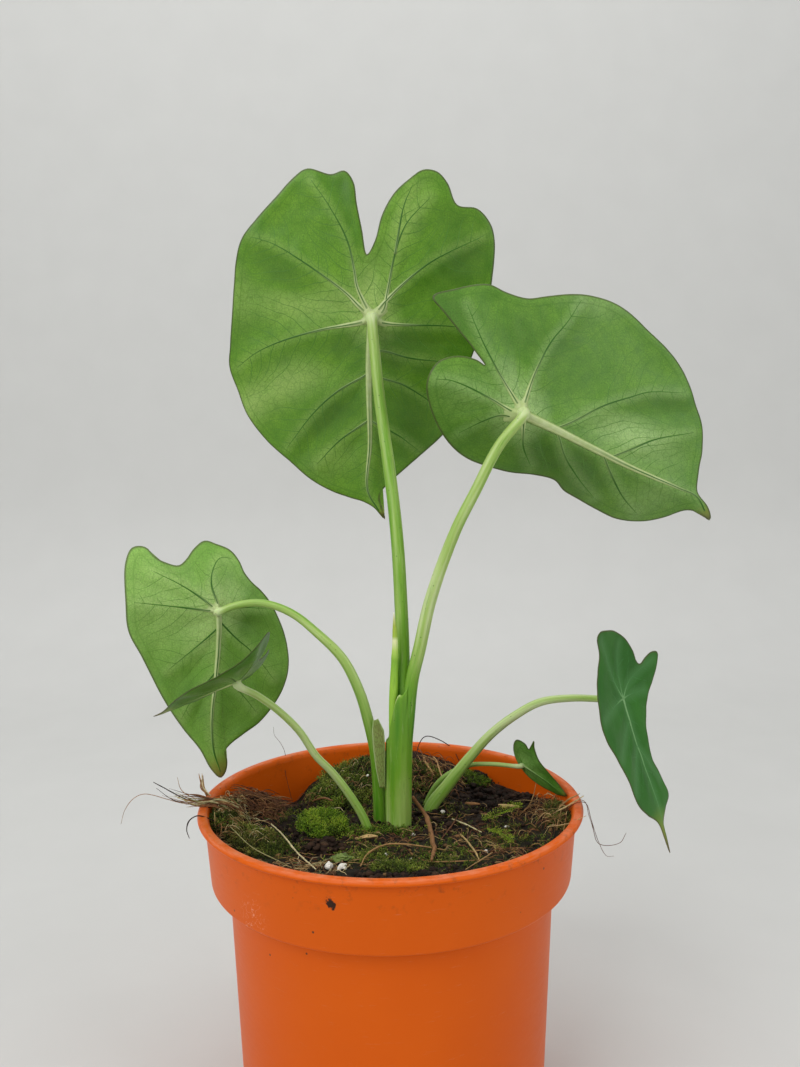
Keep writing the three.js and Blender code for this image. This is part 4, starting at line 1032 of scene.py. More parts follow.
def paint_upper(add):
    where = (add("Attribute", attribute_name="leaf_place"), "Vector")
    to_vein = (add("Attribute", attribute_name="vein_mm"), "Fac")
    to_rim = (add("Attribute", attribute_name="rim_mm"), "Fac")
    broad = add("TexNoise", Vector=where, Scale=1 / 12, Detail=3.0)
    colour = add("Mix", Factor=broad, A="#1c5012", B="#3c7a24")
    colour = tint(add, colour, "#5a8c54", to_vein, 2.4, 0.2, 0.4)
    # The suede comes from cells that stand up like tiny domes, drawn 0.35 mm across.
    domes = add("TexVoronoi", Vector=where, Scale=1 / 0.35)
    # Each dome is painted paler in its middle, a painted sheen on the suede.
    painted_dome_sheen = add("MapRange", Value=(domes, "Distance"), From_Max=0.7, To_Min=0.2, To_Max=0.0)
    colour = add("Mix", Factor=painted_dome_sheen, A=colour, B="#3f8245")
    colour = dry_tip(add, colour)
    colour = tint(add, colour, "#54432f", to_rim, 0.45, 0.15, 0.6)
    bumps = add("Bump", Height=(domes, "Distance"), Strength=0.3, Distance=-0.05 * MM)
    return dict(Base_Color=colour, Normal=bumps)


def paint_upper_rib(add):
    where = (add("Attribute", attribute_name="leaf_place"), "Vector")
    spots = add("TexNoise", Vector=where, Scale=1 / 1.2, Detail=4.0)
    wide = (add("Attribute", attribute_name="wide"), "Fac")
    thick = add("MapRange", Value=wide, From_Min=0.2, From_Max=0.8)
    light = add("Mix", Factor=spots, A="#669a5a", B="#92bb80")
    return dict(Base_Color=add("Mix", Factor=thick, A="#3f7e38", B=light))


rib_finish = finish_of("raised vein, waxy", paint_rib, Roughness=0.42, IOR=1.42, Specular_IOR_Level=0.5)
upper_finish = finish_of(
    "leaf upper face, suede green", paint_upper, Roughness=0.55, IOR=1.42, Specular_IOR_Level=0.3,
    Sheen_Weight=0.04, Sheen_Roughness=0.5, Sheen_Tint="#7fa45c",
)
upper_rib_finish = finish_of("sunken pale vein", paint_upper_rib, Roughness=0.5, IOR=1.42)
print("leaf finishes:", len(set(UNDERSIDES.values())) + 3)

# %% [markdown]
# The stalk doesn't end at the blade. It runs out into the thick veins, so a low star with an arm
# along each of them lies round the joint, and its border sinks into the blade.

# %% Make the blades
BOSS_SIDES, BOSS_RINGS = 64, 12


def add_boss(shape, leaf):
    size = leaf["size"]
    angle = np.arange(BOSS_SIDES) * 2 * np.pi / BOSS_SIDES
    reach = np.full(BOSS_SIDES, 2.7)
    for line in leaf["lines"]:
        if np.hypot(*line[0]) < 0.6:
            way = math.atan2(*(line[min(4, len(line) - 1)] - line[0])[::-1])
            reach += 3.2 * np.exp(-((((angle - way + np.pi) % (2 * np.pi) - np.pi) / 0.26) ** 2))
    reach = np.minimum(reach, 5.6) * size * leaf.get("veins_show", 1)
    share = np.linspace(0, 1, BOSS_RINGS + 1)[1:]
    xy = (np.column_stack([np.cos(angle), np.sin(angle)]) * reach[:, None])[None] * share[:, None, None]
    xy = np.vstack([[[0, 0]], xy.reshape(-1, 2)])
    away = np.append(0, np.repeat(share, BOSS_SIDES))
    lift = 1.5 * size * (1 - away) ** 1.5 * (1 - 0.3 * away) - np.where(away == 1, 0.12, 0)
    points = placed(leaf, xy, height_at(leaf, xy)[0] - BLADE / 2 - lift)
    points = np.vstack([points, points[0] + leaf["axes"][2] * (1.5 * size + 0.1)])
    step = np.arange(BOSS_SIDES)
    nxt = (step + 1) % BOSS_SIDES
    last = 1 + (BOSS_RINGS - 1) * BOSS_SIDES
    fan = np.column_stack([np.zeros(BOSS_SIDES, int), nxt + 1, step + 1])
    floor = np.column_stack([np.full(BOSS_SIDES, len(points) - 1), last + step, last + nxt])
    leaf_place = np.column_stack([xy, np.full(len(xy), leaf["seed"] * 50.0)])
    shape.add(
        points, [grid_faces(BOSS_RINGS, BOSS_SIDES, wrap=True) + 1, fan, floor], 2,
        leaf_place=np.vstack([leaf_place, leaf_place[:1]]), rim_mm=9, share=0, wide=2,
        across=np.append(0.42 + 0.36 * away, 0.5),
    )


for name, leaf in LEAVES.items():
    blade = Shape()
    add_blade(blade, leaf)
    add_boss(blade, leaf)
    size = leaf["size"]
    for number, line in enumerate(leaf["lines"]):
        first = (3.2, 2.3, 1.8, 1.2, 0.45) if number == 0 else (2.2, 1.1, 0.6, 0.4, 0.2)
        tall = (0.95, 0.62, 0.42, 0.25, 0.08) if number == 0 else (0.45, 0.24, 0.14, 0.09, 0.04)
        if number and np.hypot(*line[0]) > 2.5:
            first, tall = (0.9, 0.75, 0.5, 0.36, 0.2), (0.2, 0.18, 0.13, 0.09, 0.04)
        widths = np.array(first) * (0.25 + 0.75 * size) * leaf.get("veins_show", 1)
        add_rib(blade, leaf, line, widths, np.array(tall) * size, -1, 2)
        add_rib(blade, leaf, line, widths * 0.33, (0.07, 0.05, 0.03), 1, 3)
    for line in leaf["fine"]:
        fine = np.array([0.24, 0.2, 0.1]) * size * leaf.get("veins_show", 1)
        add_rib(blade, leaf, line, fine, (0.06, 0.04, 0.02), -1, 2)
        add_rib(blade, leaf, line, (0.22 * size, 0.16 * size, 0.08 * size), (0.03, 0.02), 1, 3)
    finishes = [UNDERSIDES[name], upper_finish, rib_finish, upper_rib_finish]
    blade.make(f"{name}_blade_detailed", finishes, [f"{name}_blade"])

# %% [markdown]
# ## The stalks
#
# A leaf stalk is a juicy round rod with fine ridges along it, thickest at its foot. It opens into a
# small collar where it joins the blade. Its skin is waxy: green with paler and darker streaks, and
# paler where the stalk has stretched the most. How pale it is goes along with the points.


# %% Stalk finish
def paint_stalk(add):
    where = (add("Attribute", attribute_name="stalk_place"), "Vector")
    pale = (add("Attribute", attribute_name="pale"), "Fac")
    # Streaks are about 0.5 mm wide and 9 mm long.
    drawn_out = add("Mapping", Vector=where, Scale=(1 / 0.5, 1 / 0.5, 1 / 9))
    streak = add("TexNoise", Vector=drawn_out, Scale=1.0, Detail=4.0, Roughness=0.6)
    broad = add("Mapping", Vector=where, Scale=(1 / 2, 1 / 2, 1 / 30))
    broad = add("TexNoise", Vector=broad, Scale=1.0, Detail=1.0)
    tone = add("Math", pale, broad, operation="ADD")
    tone = add("MapRange", Value=tone, From_Min=0.42, From_Max=1.5)
    ramp = [(0.0, "#4a8a16"), (0.35, "#74a62c"), (0.7, "#a3c064"), (1.0, "#ccdca0")]
    colour = (add("ValToRGB", Fac=tone, ramp=ramp), "Color")
    colour = tint(add, colour, "#c2d68c", streak, 0.55, 0.72, 0.4)
    colour = tint(add, colour, "#4c7f1c", streak, 0.42, 0.3, 0.4)
    # Dark breathing pores and nicks, 0.4 mm across, in cells of 2.6 mm.
    cells = add("TexVoronoi", Vector=where, Scale=1 / 2.6)
    colour = tint(add, colour, "#2f4a1c", (cells, "Distance"), 0.1, 0.05, 0.6)
    bumps = add("Bump", Height=streak, Strength=0.3, Distance=0.1 * MM)
    rough = add("MapRange", Value=streak, To_Min=0.32, To_Max=0.5)
    return dict(Base_Color=colour, Normal=bumps, Roughness=rough)


stalk_finish = finish_of(
    "waxy leaf stalk skin", paint_stalk, IOR=1.42, Subsurface_Weight=0.15,
    Subsurface_Radius=(0.5, 1.0, 0.2), Subsurface_Scale=1.0 * MM,
)
# How pale each stalk is from its foot to the blade, 0 to 1.
PALENESS = {
    "leaf_1": (0.2, 0.2, 0.25, 0.3, 0.35, 0.4, 0.45, 0.5, 0.75),
    "leaf_2": (0.05, 0.15, 0.35, 0.75, 0.95, 0.75, 0.6, 0.6, 0.8),
    "leaf_3": (0.1, 0.2, 0.3, 0.45, 0.6, 0.65, 0.6, 0.6, 0.7),
    "leaf_4": (0.25, 0.4, 0.6, 0.75, 0.8, 0.8),
    "leaf_5": (0.55, 0.45, 0.55, 0.7, 0.8, 0.8, 0.8),
    "leaf_6": (0.5, 0.55, 0.6, 0.6),
}


# %% Stalk meshes
STALK_SIDES = 28


def tube_place(sides, radius, length, rows):
    """Points of a straight tube along z in the order of add_tube, as places for a pattern."""
    angle = np.arange(sides) * 2 * np.pi / sides
    ring = np.stack([np.cos(angle) * radius, np.sin(angle) * radius, np.zeros(sides)], -1)
    place = ring[None] + np.linspace(0, length, rows)[:, None, None] * np.array([0, 0, 1.0])
    return np.vstack([place.reshape(-1, 3), [[0, 0, 0], [0, 0, length]]])


def add_stalk(shape, name, leaf):
    down = -leaf["axes"][2]
    end = leaf["radii"][-1]
    near, top = (np.asarray(leaf["attach"]) + down * away for away in (1.35 * end, 0.12))
    path = smooth_curve(list(leaf["stalk"]) + [near, top], 1.0)
    length = float(len(path))
    seed = leaf["seed"]

    def swell(share, angle):
        collar = 0.4 * np.exp(-(((1 - share) * length / 1.9) ** 2))
        ridges = 0.012 * np.cos(9 * angle + seed) + 0.008 * np.cos(14 * angle + 2 * seed)
        uneven = 0.03 * np.sin(share * length / 5.3 + seed) * np.cos(angle + share * 3)
        return 1 + collar + ridges + uneven

    place = tube_place(STALK_SIDES, 2, length, len(path)) + seed * 40
    pale = PALENESS[name]
    add_tube(
        shape, path, leaf["radii"], STALK_SIDES, swell=swell, stalk_place=place,
        pale=lambda share: np.interp(share, np.linspace(0, 1, len(pale)), pale)
        + 0.6 * np.exp(-(((1 - share) * length / 3) ** 2)),
    )


for name, leaf in LEAVES.items():
    if name != "leaf_2":
        stalk = Shape()
        add_stalk(stalk, name, leaf)
        stalk.make(f"{name}_stalk_detailed", [stalk_finish], [f"{name}_stalk"])

# %% [markdown]
# The foot of the second stalk is a sheath that wraps the first stalk and the new leaf. Its mouth is
# cut at a slant: high where it runs out into its own stalk at the right, with a small rounded lip in
# front, and low at the left, where the new leaf comes out. So each column of the sheath gets its own
# top height, and the wall turns over there and goes back down inside.

# %% Sheath
MOUTH = [
    # degrees from the right, counter-clockwise seen from above, and the height of the mouth
    (-180, 107), (-155, 108), (-135, 112.5), (-118, 117.5), (-104, 120.3), (-92, 121.2), (-82, 120.6),
    (-70, 121.5), (-50, 124), (-25, 127), (0, 128), (30, 127), (60, 122), (100, 113), (140, 108),
    (180, 107),
]
SHEATH_WALL = 0.45
STALK_FOOT = 70.3  # height at which the stalks begin on the corm
sheath_line = np.array([(1.9, 0.4, 70.3), (2.1, 0.4, 92), (2.9, 0.4, 119.6), (3.6, 0.2, 129)])
sheath_radii = np.array([3.4, 3.6, 3.75, 3.0])


def add_sheath(shape):
    columns, rows = 96, 70
    degrees = np.arange(columns) * 360 / columns - 180
    angle = np.radians(degrees)
    top = np.interp(degrees, *np.array(MOUTH).T)
    top = (np.roll(top, 1) + top + np.roll(top, -1)) / 3
    stem = smooth_curve(LEAVES["leaf_2"]["stalk"], 1.0)
    points, pale, place = [], [], []
    levels = [(row / (rows - 1), 0.0) for row in range(rows)]
    levels += [(1.0, 0.5)] + [(1 - 0.011 * k, 1.0) for k in range(12)]
    for share, inner in levels:
        z = STALK_FOOT + (top - STALK_FOOT) * share + (0.12 if inner == 0.5 else 0)
        x, y = (np.interp(z, sheath_line[:, 2], sheath_line[:, k]) for k in (0, 1))
        radius = np.interp(z, sheath_line[:, 2], sheath_radii) - SHEATH_WALL * inner
        near_mouth = np.exp(-((top - z) / 5) ** 2)
        overlap = 0.16 * np.tanh((degrees + 118 - (z - 95) * 0.8) / 7)
        radius = radius + 0.05 * np.cos(13 * angle) + 0.03 * np.sin(7 * angle + z / 9) + overlap - 0.1
        # Where the sheath runs out into its own stalk, the wall sinks into the stalk's side.
        stem_x, stem_y = (
            np.interp(z, stem[:, 2], stem[:, k]) - middle for k, middle in ((0, x), (1, y))
        )
        along = stem_x * np.cos(angle) + stem_y * np.sin(angle)
        inside = along**2 - stem_x**2 - stem_y**2 + 1.7**2
        sunk = np.clip(inside / 0.8, 0, 1) * np.clip((z - top + 9) / 8, 0, 1) * (along > 0)
        radius = radius + sunk * (along + np.sqrt(np.maximum(0, inside)) - 0.2 - radius)
        points.append(np.column_stack([x + radius * np.cos(angle), y + radius * np.sin(angle), z]))
        lime = np.interp(z, [84, 92, 100, 120], [0.6, 0.45, 0.2, 0.15])
        emerald = 0.3 * np.exp(-(((degrees + 98) / 10) ** 2) - ((z - 112) / 9) ** 2)
        lip = 0.9 * np.exp(-((top - z) / 0.5) ** 2 - ((degrees + 104) / 16) ** 2) * (share > 0.9)
        pale.append(lime - emerald + lip + 0.1 * near_mouth)
        place.append(np.column_stack([2.6 * np.cos(angle), 2.6 * np.sin(angle), z]))
    quads = grid_faces(len(levels), columns, wrap=True)
    last = (len(levels) - 1) * columns
    caps = np.vstack([np.arange(columns)[::-1], last + np.arange(columns)])
    shape.add(
        np.vstack(points), [quads, caps], 0, pale=np.concatenate(pale),
        stalk_place=np.vstack(place), share=0.2,
    )


sheathed = Shape()
add_stalk(sheathed, "leaf_2", LEAVES["leaf_2"])
add_sheath(sheathed)
sheathed.make("leaf_2_stalk_and_sheath", [stalk_finish], ["leaf_2_stalk"])

# %% [markdown]
# ### The new leaf and the papery sheath
#
# The next leaf is still rolled up like a paper cone, lime green with a whitish tip. In front of the
# third stalk stands the dead edge of an old sheath, thin as paper, with a net of brown veins.


# %% New leaf
def paint_new_leaf(add):
    where = (add("Attribute", attribute_name="stalk_place"), "Vector")
    share = (add("Attribute", attribute_name="share"), "Fac")
    drawn_out = add("Mapping", Vector=where, Scale=(1 / 0.4, 1 / 0.4, 1 / 7))
    streak = add("TexNoise", Vector=drawn_out, Scale=1.0, Detail=4.0)
    ramp = [
        (0.0, "#8fbf3a"), (0.55, "#93c73a"), (0.72, "#a2cf45"), (0.82, "#8cbc3c"), (0.855, "#b9d864"),
        (0.895, "#eef0bd"), (0.91, "#a9c548"), (0.95, "#a3b544"), (0.975, "#c9cd88"), (1.0, "#f0eed2"),
    ]
    colour = (add("ValToRGB", Fac=share, ramp=ramp), "Color")
    colour = tint(add, colour, "#5f9a28", streak, 0.45, 0.3, 0.4)
    bumps = add("Bump", Height=streak, Strength=0.3, Distance=0.08 * MM)
    return dict(Base_Color=colour, Normal=bumps)


new_leaf_finish = finish_of(
    "rolled new leaf skin", paint_new_leaf, Roughness=0.36, IOR=1.42, Subsurface_Weight=0.2,
    Subsurface_Radius=(0.6, 1.0, 0.2), Subsurface_Scale=1.0 * MM,
)
spear = Shape()
spear_path = smooth_curve(
    [(0.4, -1, 70.3), (0.9, -1, 100), (1, -1, 118.5), (1.7, -0.9, 135), (1.5, -0.6, 143.4)], 0.6
)


def rolled(share, angle):
    """The free edge of the rolled blade stands out by a tenth and winds round the cone."""
    turn_share = ((angle - 2.2 - 3.5 * share) / (2 * np.pi)) % 1
    return 0.93 + 0.17 * turn_share + 0.1 * np.exp(-(((share - 0.83) / 0.012) ** 2))


SPEAR_SIDES, SPEAR_LENGTH = 40, 73
place = tube_place(SPEAR_SIDES, 1, SPEAR_LENGTH, len(spear_path))
spear_radii = (1, 1.05, 1.1, 1.15, 1.2, 1.25, 1.25, 1.2, 1.2, 1.2, 1.15, 1.0, 0.85, 0.65, 0.12)
add_tube(spear, spear_path, spear_radii, SPEAR_SIDES, swell=rolled, stalk_place=place)
spear.make("rolled_new_leaf", [new_leaf_finish], ["new_leaf_spear"])


# %% Papery sheath
def close_sheet(shape, rows, columns, flipped=False):
    """Joins the borders of two layers of one grid, which are the first parts of the shape."""
    layer = rows * columns
    index = np.arange(layer).reshape(rows, columns)
    border = np.concatenate([index[0], index[1:, -1], index[-1, -2::-1], index[-2:0:-1, 0]])
    after = np.roll(border, -1)
    band = np.column_stack([border, border + layer, after + layer, after])
    shape.faces.append(band[:, [0, 3, 2, 1]] if flipped else band)
    shape.finishes.append(np.zeros(len(border), int))


def paint_papery(add):
    where = (add("TexCoord"), "Object")
    drawn_out = add("Mapping", Vector=where, Scale=(1 / (0.5 * MM), 1 / (0.5 * MM), 1 / (1.6 * MM)))
    net = add("TexVoronoi", feature="DISTANCE_TO_EDGE", Vector=drawn_out, Scale=1.0)
    thread = add("MapRange", Value=(net, "Distance"), From_Min=0.16, From_Max=0.05)
    edge = (add("Attribute", attribute_name="edge"), "Fac")
    fade = add("TexNoise", Vector=where, Scale=1 / (3 * MM))
    thread = add("Math", thread, 0.6, operation="MULTIPLY")
    colour = add("Mix", Factor=fade, A="#74983f", B="#96a05a")
    colour = add("Mix", Factor=thread, A=colour, B="#6a6634")
    colour = add("Mix", Factor=edge, A=colour, B="#b9cf8e")
    bumps = add("Bump", Height=thread, Strength=0.4, Distance=0.06 * MM)
    return dict(Base_Color=colour, Normal=bumps)


papery = finish_of("dried sheath, papery", paint_papery, Roughness=0.62, IOR=1.45)
flap = Shape()
FLAP_LEFT = [(-3.05, 94.5), (-4.1, 100), (-4.75, 106), (-5.0, 110.5), (-4.6, 113.4)]
FLAP_RIGHT = [(-1.5, 94.5), (-1.45, 101), (-1.35, 106), (-1.6, 110.5), (-3.2, 113.9)]
FLAP_ROWS, FLAP_COLUMNS = 40, 14
left_edge, right_edge = evenly(FLAP_LEFT, FLAP_ROWS), evenly(FLAP_RIGHT, FLAP_ROWS)
across = np.linspace(0, 1, FLAP_COLUMNS)
sheet_xz = left_edge[:, None] + (right_edge - left_edge)[:, None] * across[None, :, None]
bulge = -0.42 - 0.5 * np.sin(across * np.pi)[None] * np.linspace(0.3, 1, FLAP_ROWS)[:, None]
bulge = bulge + 0.05 * smooth_noise(sheet_xz.reshape(-1, 2), 1.5, 3).reshape(FLAP_ROWS, FLAP_COLUMNS)
for offset, turned_over in ((-0.09, False), (0.09, True)):
    points = np.stack([sheet_xz[..., 0], bulge + offset, sheet_xz[..., 1]], -1).reshape(-1, 3)
    quads = grid_faces(FLAP_ROWS, FLAP_COLUMNS)
    edge = np.tile(np.exp(-((across / 0.09) ** 2)) + np.exp(-(((1 - across) / 0.07) ** 2)), FLAP_ROWS)
    flap.add(points, quads[:, ::-1] if turned_over else quads, edge=edge)
close_sheet(flap, FLAP_ROWS, FLAP_COLUMNS)
flap.make("papery_sheath_edge", [papery], ["leaf_3_papery_sheath"])

# %% [markdown]
# ## The soil
#
# The potting mix is coir and peat: dark brown, crumbly and full of fine fibres. Its surface is low
# in two pockets at the back and is piled up against the wall at the sides. A ring grid gives the
# surface, with three sizes of noise on it, and over two thousand small crumbs lie on top.

# %% Soil surface
SWELLS = [
    (7, 2, 42, 17, 20), (-3, -34, 28, 12, 12), (-1.5, 36, 28, 12, 12), (6, -48, -2, 10, 20),
    (4.5, 48, -4, 10, 20),
]


def soil_height(xy):
    """The soil's height at points in plan: a base level, a rise to the front, and the swells."""
    x, y = np.asarray(xy, float).T
    height = 84 + np.where(y < 0, 0.0028 * y * y, 0)
    for rise, at_x, at_y, wide, deep in SWELLS:
        height = height + rise * np.exp(-(((x - at_x) / wide) ** 2) - ((y - at_y) / deep) ** 2)
    return height


POCKETS = ((-38, -25, 19.9, 29.5), (20, 38, 14.6, 28))  # x and y ranges, kept free


def in_pocket(xy):
    """1 in the two pockets that are kept free, and 0 further than 3 mm from them."""
    x, y = np.asarray(xy, float).T
    gaps = []
    for x0, x1, y0, y1 in POCKETS:
        away = np.hypot(
            np.maximum(0, np.maximum(x0 - x, x - x1)), np.maximum(0, np.maximum(y0 - y, y - y1)),
        )
        gaps.append(np.clip(1 - away / 3, 0, 1))
    return np.maximum(*gaps)


def crumbled(xy):
    """The soil's height with clods of 5 mm, crumbs of 1.6 mm and grit of 0.7 mm."""
    x, y = np.asarray(xy, float).T
    rough = 0.6 * smooth_noise(xy, 5, 31) + 0.45 * smooth_noise(xy, 1.9, 32) + 0.22 * smooth_noise(
        xy, 0.9, 33,
    )
    # The mix has sunk away from the wall at the back left.
    sunk = 4.5 * np.exp(-(((x + 31) / 9) ** 2) - ((y - 34) / 9) ** 2)
    return soil_height(xy) - sunk + rough * (1 - 0.4 * in_pocket(xy)) - 0.15


def inner_radius(z):
    """Inside of the pot's band at a height, less a little room."""
    return 49.1 + (z - 73.4) / 17.2 * 1.5 - POT_WALL - 0.25


def paint_mix(add):
    where = (add("TexCoord"), "Object")
    clods = add("TexNoise", Vector=where, Scale=1 / (2.5 * MM), Detail=8.0, Roughness=0.7)
    ramp = [(0.3, "#0e0a07"), (0.5, "#20160f"), (0.66, "#3a2a1e"), (0.85, "#6b5138")]
    colour = (add("ValToRGB", Fac=clods, ramp=ramp), "Color")
    # Green algae live where the mix stays wet, in patches of about 11 mm.
    damp = add("TexNoise", Vector=where, Scale=1 / (11 * MM), Detail=3.0)
    colour = tint(add, colour, "#2c3a17", damp, 0.52, 0.68, 0.5)
    grit = add("TexNoise", Vector=where, Scale=1 / (0.5 * MM), Detail=6.0, Roughness=0.75)
    bumps = add("Bump", Height=grit, Strength=0.9, Distance=0.4 * MM)
    return dict(Base_Color=colour, Normal=bumps)


coir_mix = finish_of(
    "damp coir and peat mix", paint_mix, Roughness=0.85, IOR=1.4, Specular_IOR_Level=0.35,
)
mix = Shape()
MIX_SIDES, MIX_RINGS = 200, 70
angle = np.arange(MIX_SIDES) * 2 * np.pi / MIX_SIDES
round_xy = np.column_stack([np.cos(angle), np.sin(angle)])
rim_z = crumbled(round_xy * 48)
rim_xy = round_xy * inner_radius(rim_z)[:, None]
shares = np.linspace(1, 0, MIX_RINGS)[:-1]
top_xy = (rim_xy[None] * shares[:, None, None]).reshape(-1, 2)
top = np.column_stack([top_xy, crumbled(top_xy)])
side_line = inset(wall_line, POT_WALL + 0.3)[:-1]
side, _ = turn(side_line, MIX_SIDES)
centre = np.array([[0, 0, crumbled(np.zeros((1, 2)))[0]]])
rows = len(side_line) + len(shares)
last = (rows - 1) * MIX_SIDES + np.arange(MIX_SIDES)
fan = np.column_stack([last, np.roll(last, -1), np.full(MIX_SIDES, rows * MIX_SIDES)])
mix.add(np.vstack([side, top, centre]), [grid_faces(rows, MIX_SIDES, wrap=True), fan])
mix.make("soil_surface", [coir_mix], ["potting_mix"], weld=True)

# %% [markdown]
# Crumbs are lumps of many sizes. One lump is a rounded icosahedron pushed out of shape by noise.
# They are scattered with a seeded generator, so that each run puts them in the same places, and
# each takes its own tone.

# %% Crumbs
random = np.random.default_rng(20)


def unit_ball(levels):
    ball = bmesh.new()
    bmesh.ops.create_icosphere(ball, subdivisions=levels, radius=1)
    points = np.array([vertex.co[:] for vertex in ball.verts])
    faces = np.array([[vertex.index for vertex in face.verts] for face in ball.faces])
    ball.free()
    return points, faces


def about_z(angle):
    """The matrix that turns rows of points about Z."""
    c, s = math.cos(angle), math.sin(angle)
    return np.array([[c, s, 0], [-s, c, 0], [0, 0, 1]])


BALL, BALL_FACES = unit_ball(2)
SMALL_BALL, SMALL_BALL_FACES = unit_ball(1)


def add_lump(shape, place, size, finish=0, flat=0.75, fine=False, **values):
    ball, faces = (BALL, BALL_FACES) if fine else (SMALL_BALL, SMALL_BALL_FACES)
    stretch = size * random.uniform((0.7, 0.7, 0.6 * flat), (1.3, 1.3, 1.1 * flat))
    bumpy = 1 + 0.3 * smooth_noise(ball + random.uniform(0, 90, 3), 0.8, 5)
    turned_by = random.uniform(0, 2 * np.pi)
    points = (ball * bumpy[:, None] * stretch) @ about_z(turned_by)
    shape.add(points + place, faces, finish, **values)


def scattered(number, radius=46.5):
    """Random points in plan, even over the soil."""
    reach, angle = radius * np.sqrt(random.uniform(0, 1, number)), random.uniform(0, 2 * np.pi, number)
    return np.column_stack([reach * np.cos(angle), reach * np.sin(angle)])


def paint_crumb(add):
    where = (add("TexCoord"), "Object")
    tone = (add("Attribute", attribute_name="tone"), "Fac")
    ramp = [(0.0, "#150e09"), (0.5, "#33231a"), (0.8, "#5a412c"), (0.93, "#86653f"), (1.0, "#3a4a1e")]
    colour = (add("ValToRGB", Fac=tone, ramp=ramp), "Color")
    grit = add("TexNoise", Vector=where, Scale=1 / (0.4 * MM), Detail=5.0, Roughness=0.7)
    colour = shaded(add, colour, grit, 0.3, 0.7, 0.55, 1.35)
    bumps = add("Bump", Height=grit, Strength=0.8, Distance=0.2 * MM)
    return dict(Base_Color=colour, Normal=bumps)


crumb_finish = finish_of(
    "peat crumb, matt", paint_crumb, Roughness=0.88, IOR=1.4, Specular_IOR_Level=0.3,
)
crumbs = Shape()
spots = scattered(1800)
for (x, y), z, pocket in zip(spots, crumbled(spots), in_pocket(spots)):
    size = (0.3 + 0.75 * random.random() ** 3) * (1 - 0.5 * pocket)
    add_lump(crumbs, (x, y, z + size * 0.25), size, tone=random.random() ** 1.5 * 0.97)
# Clods: middle in plan, spread, height of the heap, number, tones.
CLODS = [
    ((-16.5, -20), (3.0, 2.4), 3.4, 150, (0.2, 0.62)), ((27, 36), (6, 2.2), 2.6, 90, (0.05, 0.5)),
    ((20, 30), (5, 3), 2.2, 70, (0.05, 0.55)), ((29, 8), (5, 4), 1.4, 80, (0.0, 0.4)),
    ((-24, -10), (3, 3), 1.6, 50, (0.0, 0.4)), ((38, 16), (2.5, 5), 1.8, 60, (0.05, 0.6)),
    ((-22, 14), (3, 3), 1.2, 40, (0.1, 0.6)), ((13, 2), (4, 5), 1.0, 60, (0.05, 0.5)),
    ((28, 21), (6, 5), 1.2, 130, (0.0, 0.4)), ((4, -44), (12, 1.5), 0.8, 90, (0.0, 0.6)),
]
for at, spread, heap, number, tones in CLODS:
    for xy in at + np.clip(random.normal(0, 1, (number, 2)), -2, 2) * spread:
        xy = xy * min(1, 46 / np.hypot(*xy))
        away = np.hypot(*((xy - at) / spread)) / 2.2
        z = soil_height([xy])[0] + heap * max(0, 1 - away**2) * random.random()
        size = random.uniform(0.35, 1.0)
        add_lump(crumbs, (*xy, z), size, fine=size > 0.82, tone=random.uniform(*tones))
crumbs.make("peat_crumbs", [crumb_finish], ["soil_clod"])

# %% [markdown]
# ## The moss
#
# Moss is never a smooth lump. The bright cushion is made of hundreds of short shoots, each a tiny
# star of pointed leaflets, and the olive moss is a tangle of the same with longer, flatter shoots.
# One leaflet is a folded blade of six triangles, closed so that it's solid. Each shoot gets its own
# tone, yellow-green at the tips and dark green or brown deep down; that darkening towards the foot
# is partly the old leaflets' own colour and partly painted shade deep in the cushion.


# %% Moss shoots
def paint_moss(add):
    tone = (add("Attribute", attribute_name="tone"), "Fac")
    share = (add("Attribute", attribute_name="share"), "Fac")
    hue = (add("Attribute", attribute_name="hue"), "Fac")
    bright = (
        add("ValToRGB", Fac=tone, ramp=[(0.0, "#35500c"), (0.5, "#719a1a"), (1.0, "#b6ce38")]),
        "Color",
    )
    olive = (
        add("ValToRGB", Fac=tone, ramp=[(0.0, "#26280e"), (0.5, "#5e6224"), (1.0, "#a8a04a")]),
        "Color",
    )
    colour = add("Mix", Factor=hue, A=bright, B=olive)
    # Leaflets darken towards the foot of their shoot: partly their own older colour, partly painted
    # shade deep in the cushion.
    return dict(Base_Color=shaded(add, colour, share, 0.0, 0.8, 0.35, 1.1))


moss_finish = finish_of(
    "living moss leaflets", paint_moss, Roughness=0.6, IOR=1.4, Specular_IOR_Level=0.35,
    Subsurface_Weight=0.1, Subsurface_Radius=(0.5, 1.0, 0.2), Subsurface_Scale=0.5 * MM,
)
LEAFLET = np.array([(0, 0, 0), (0.42, -0.18, 0.03), (0.42, 0.18, 0.03), (1, 0, 0.02), (0.42, 0, -0.05)])
LEAFLET_FACES = np.array([(0, 1, 3), (0, 3, 2), (0, 4, 1), (1, 4, 3), (3, 4, 2), (2, 4, 0)])


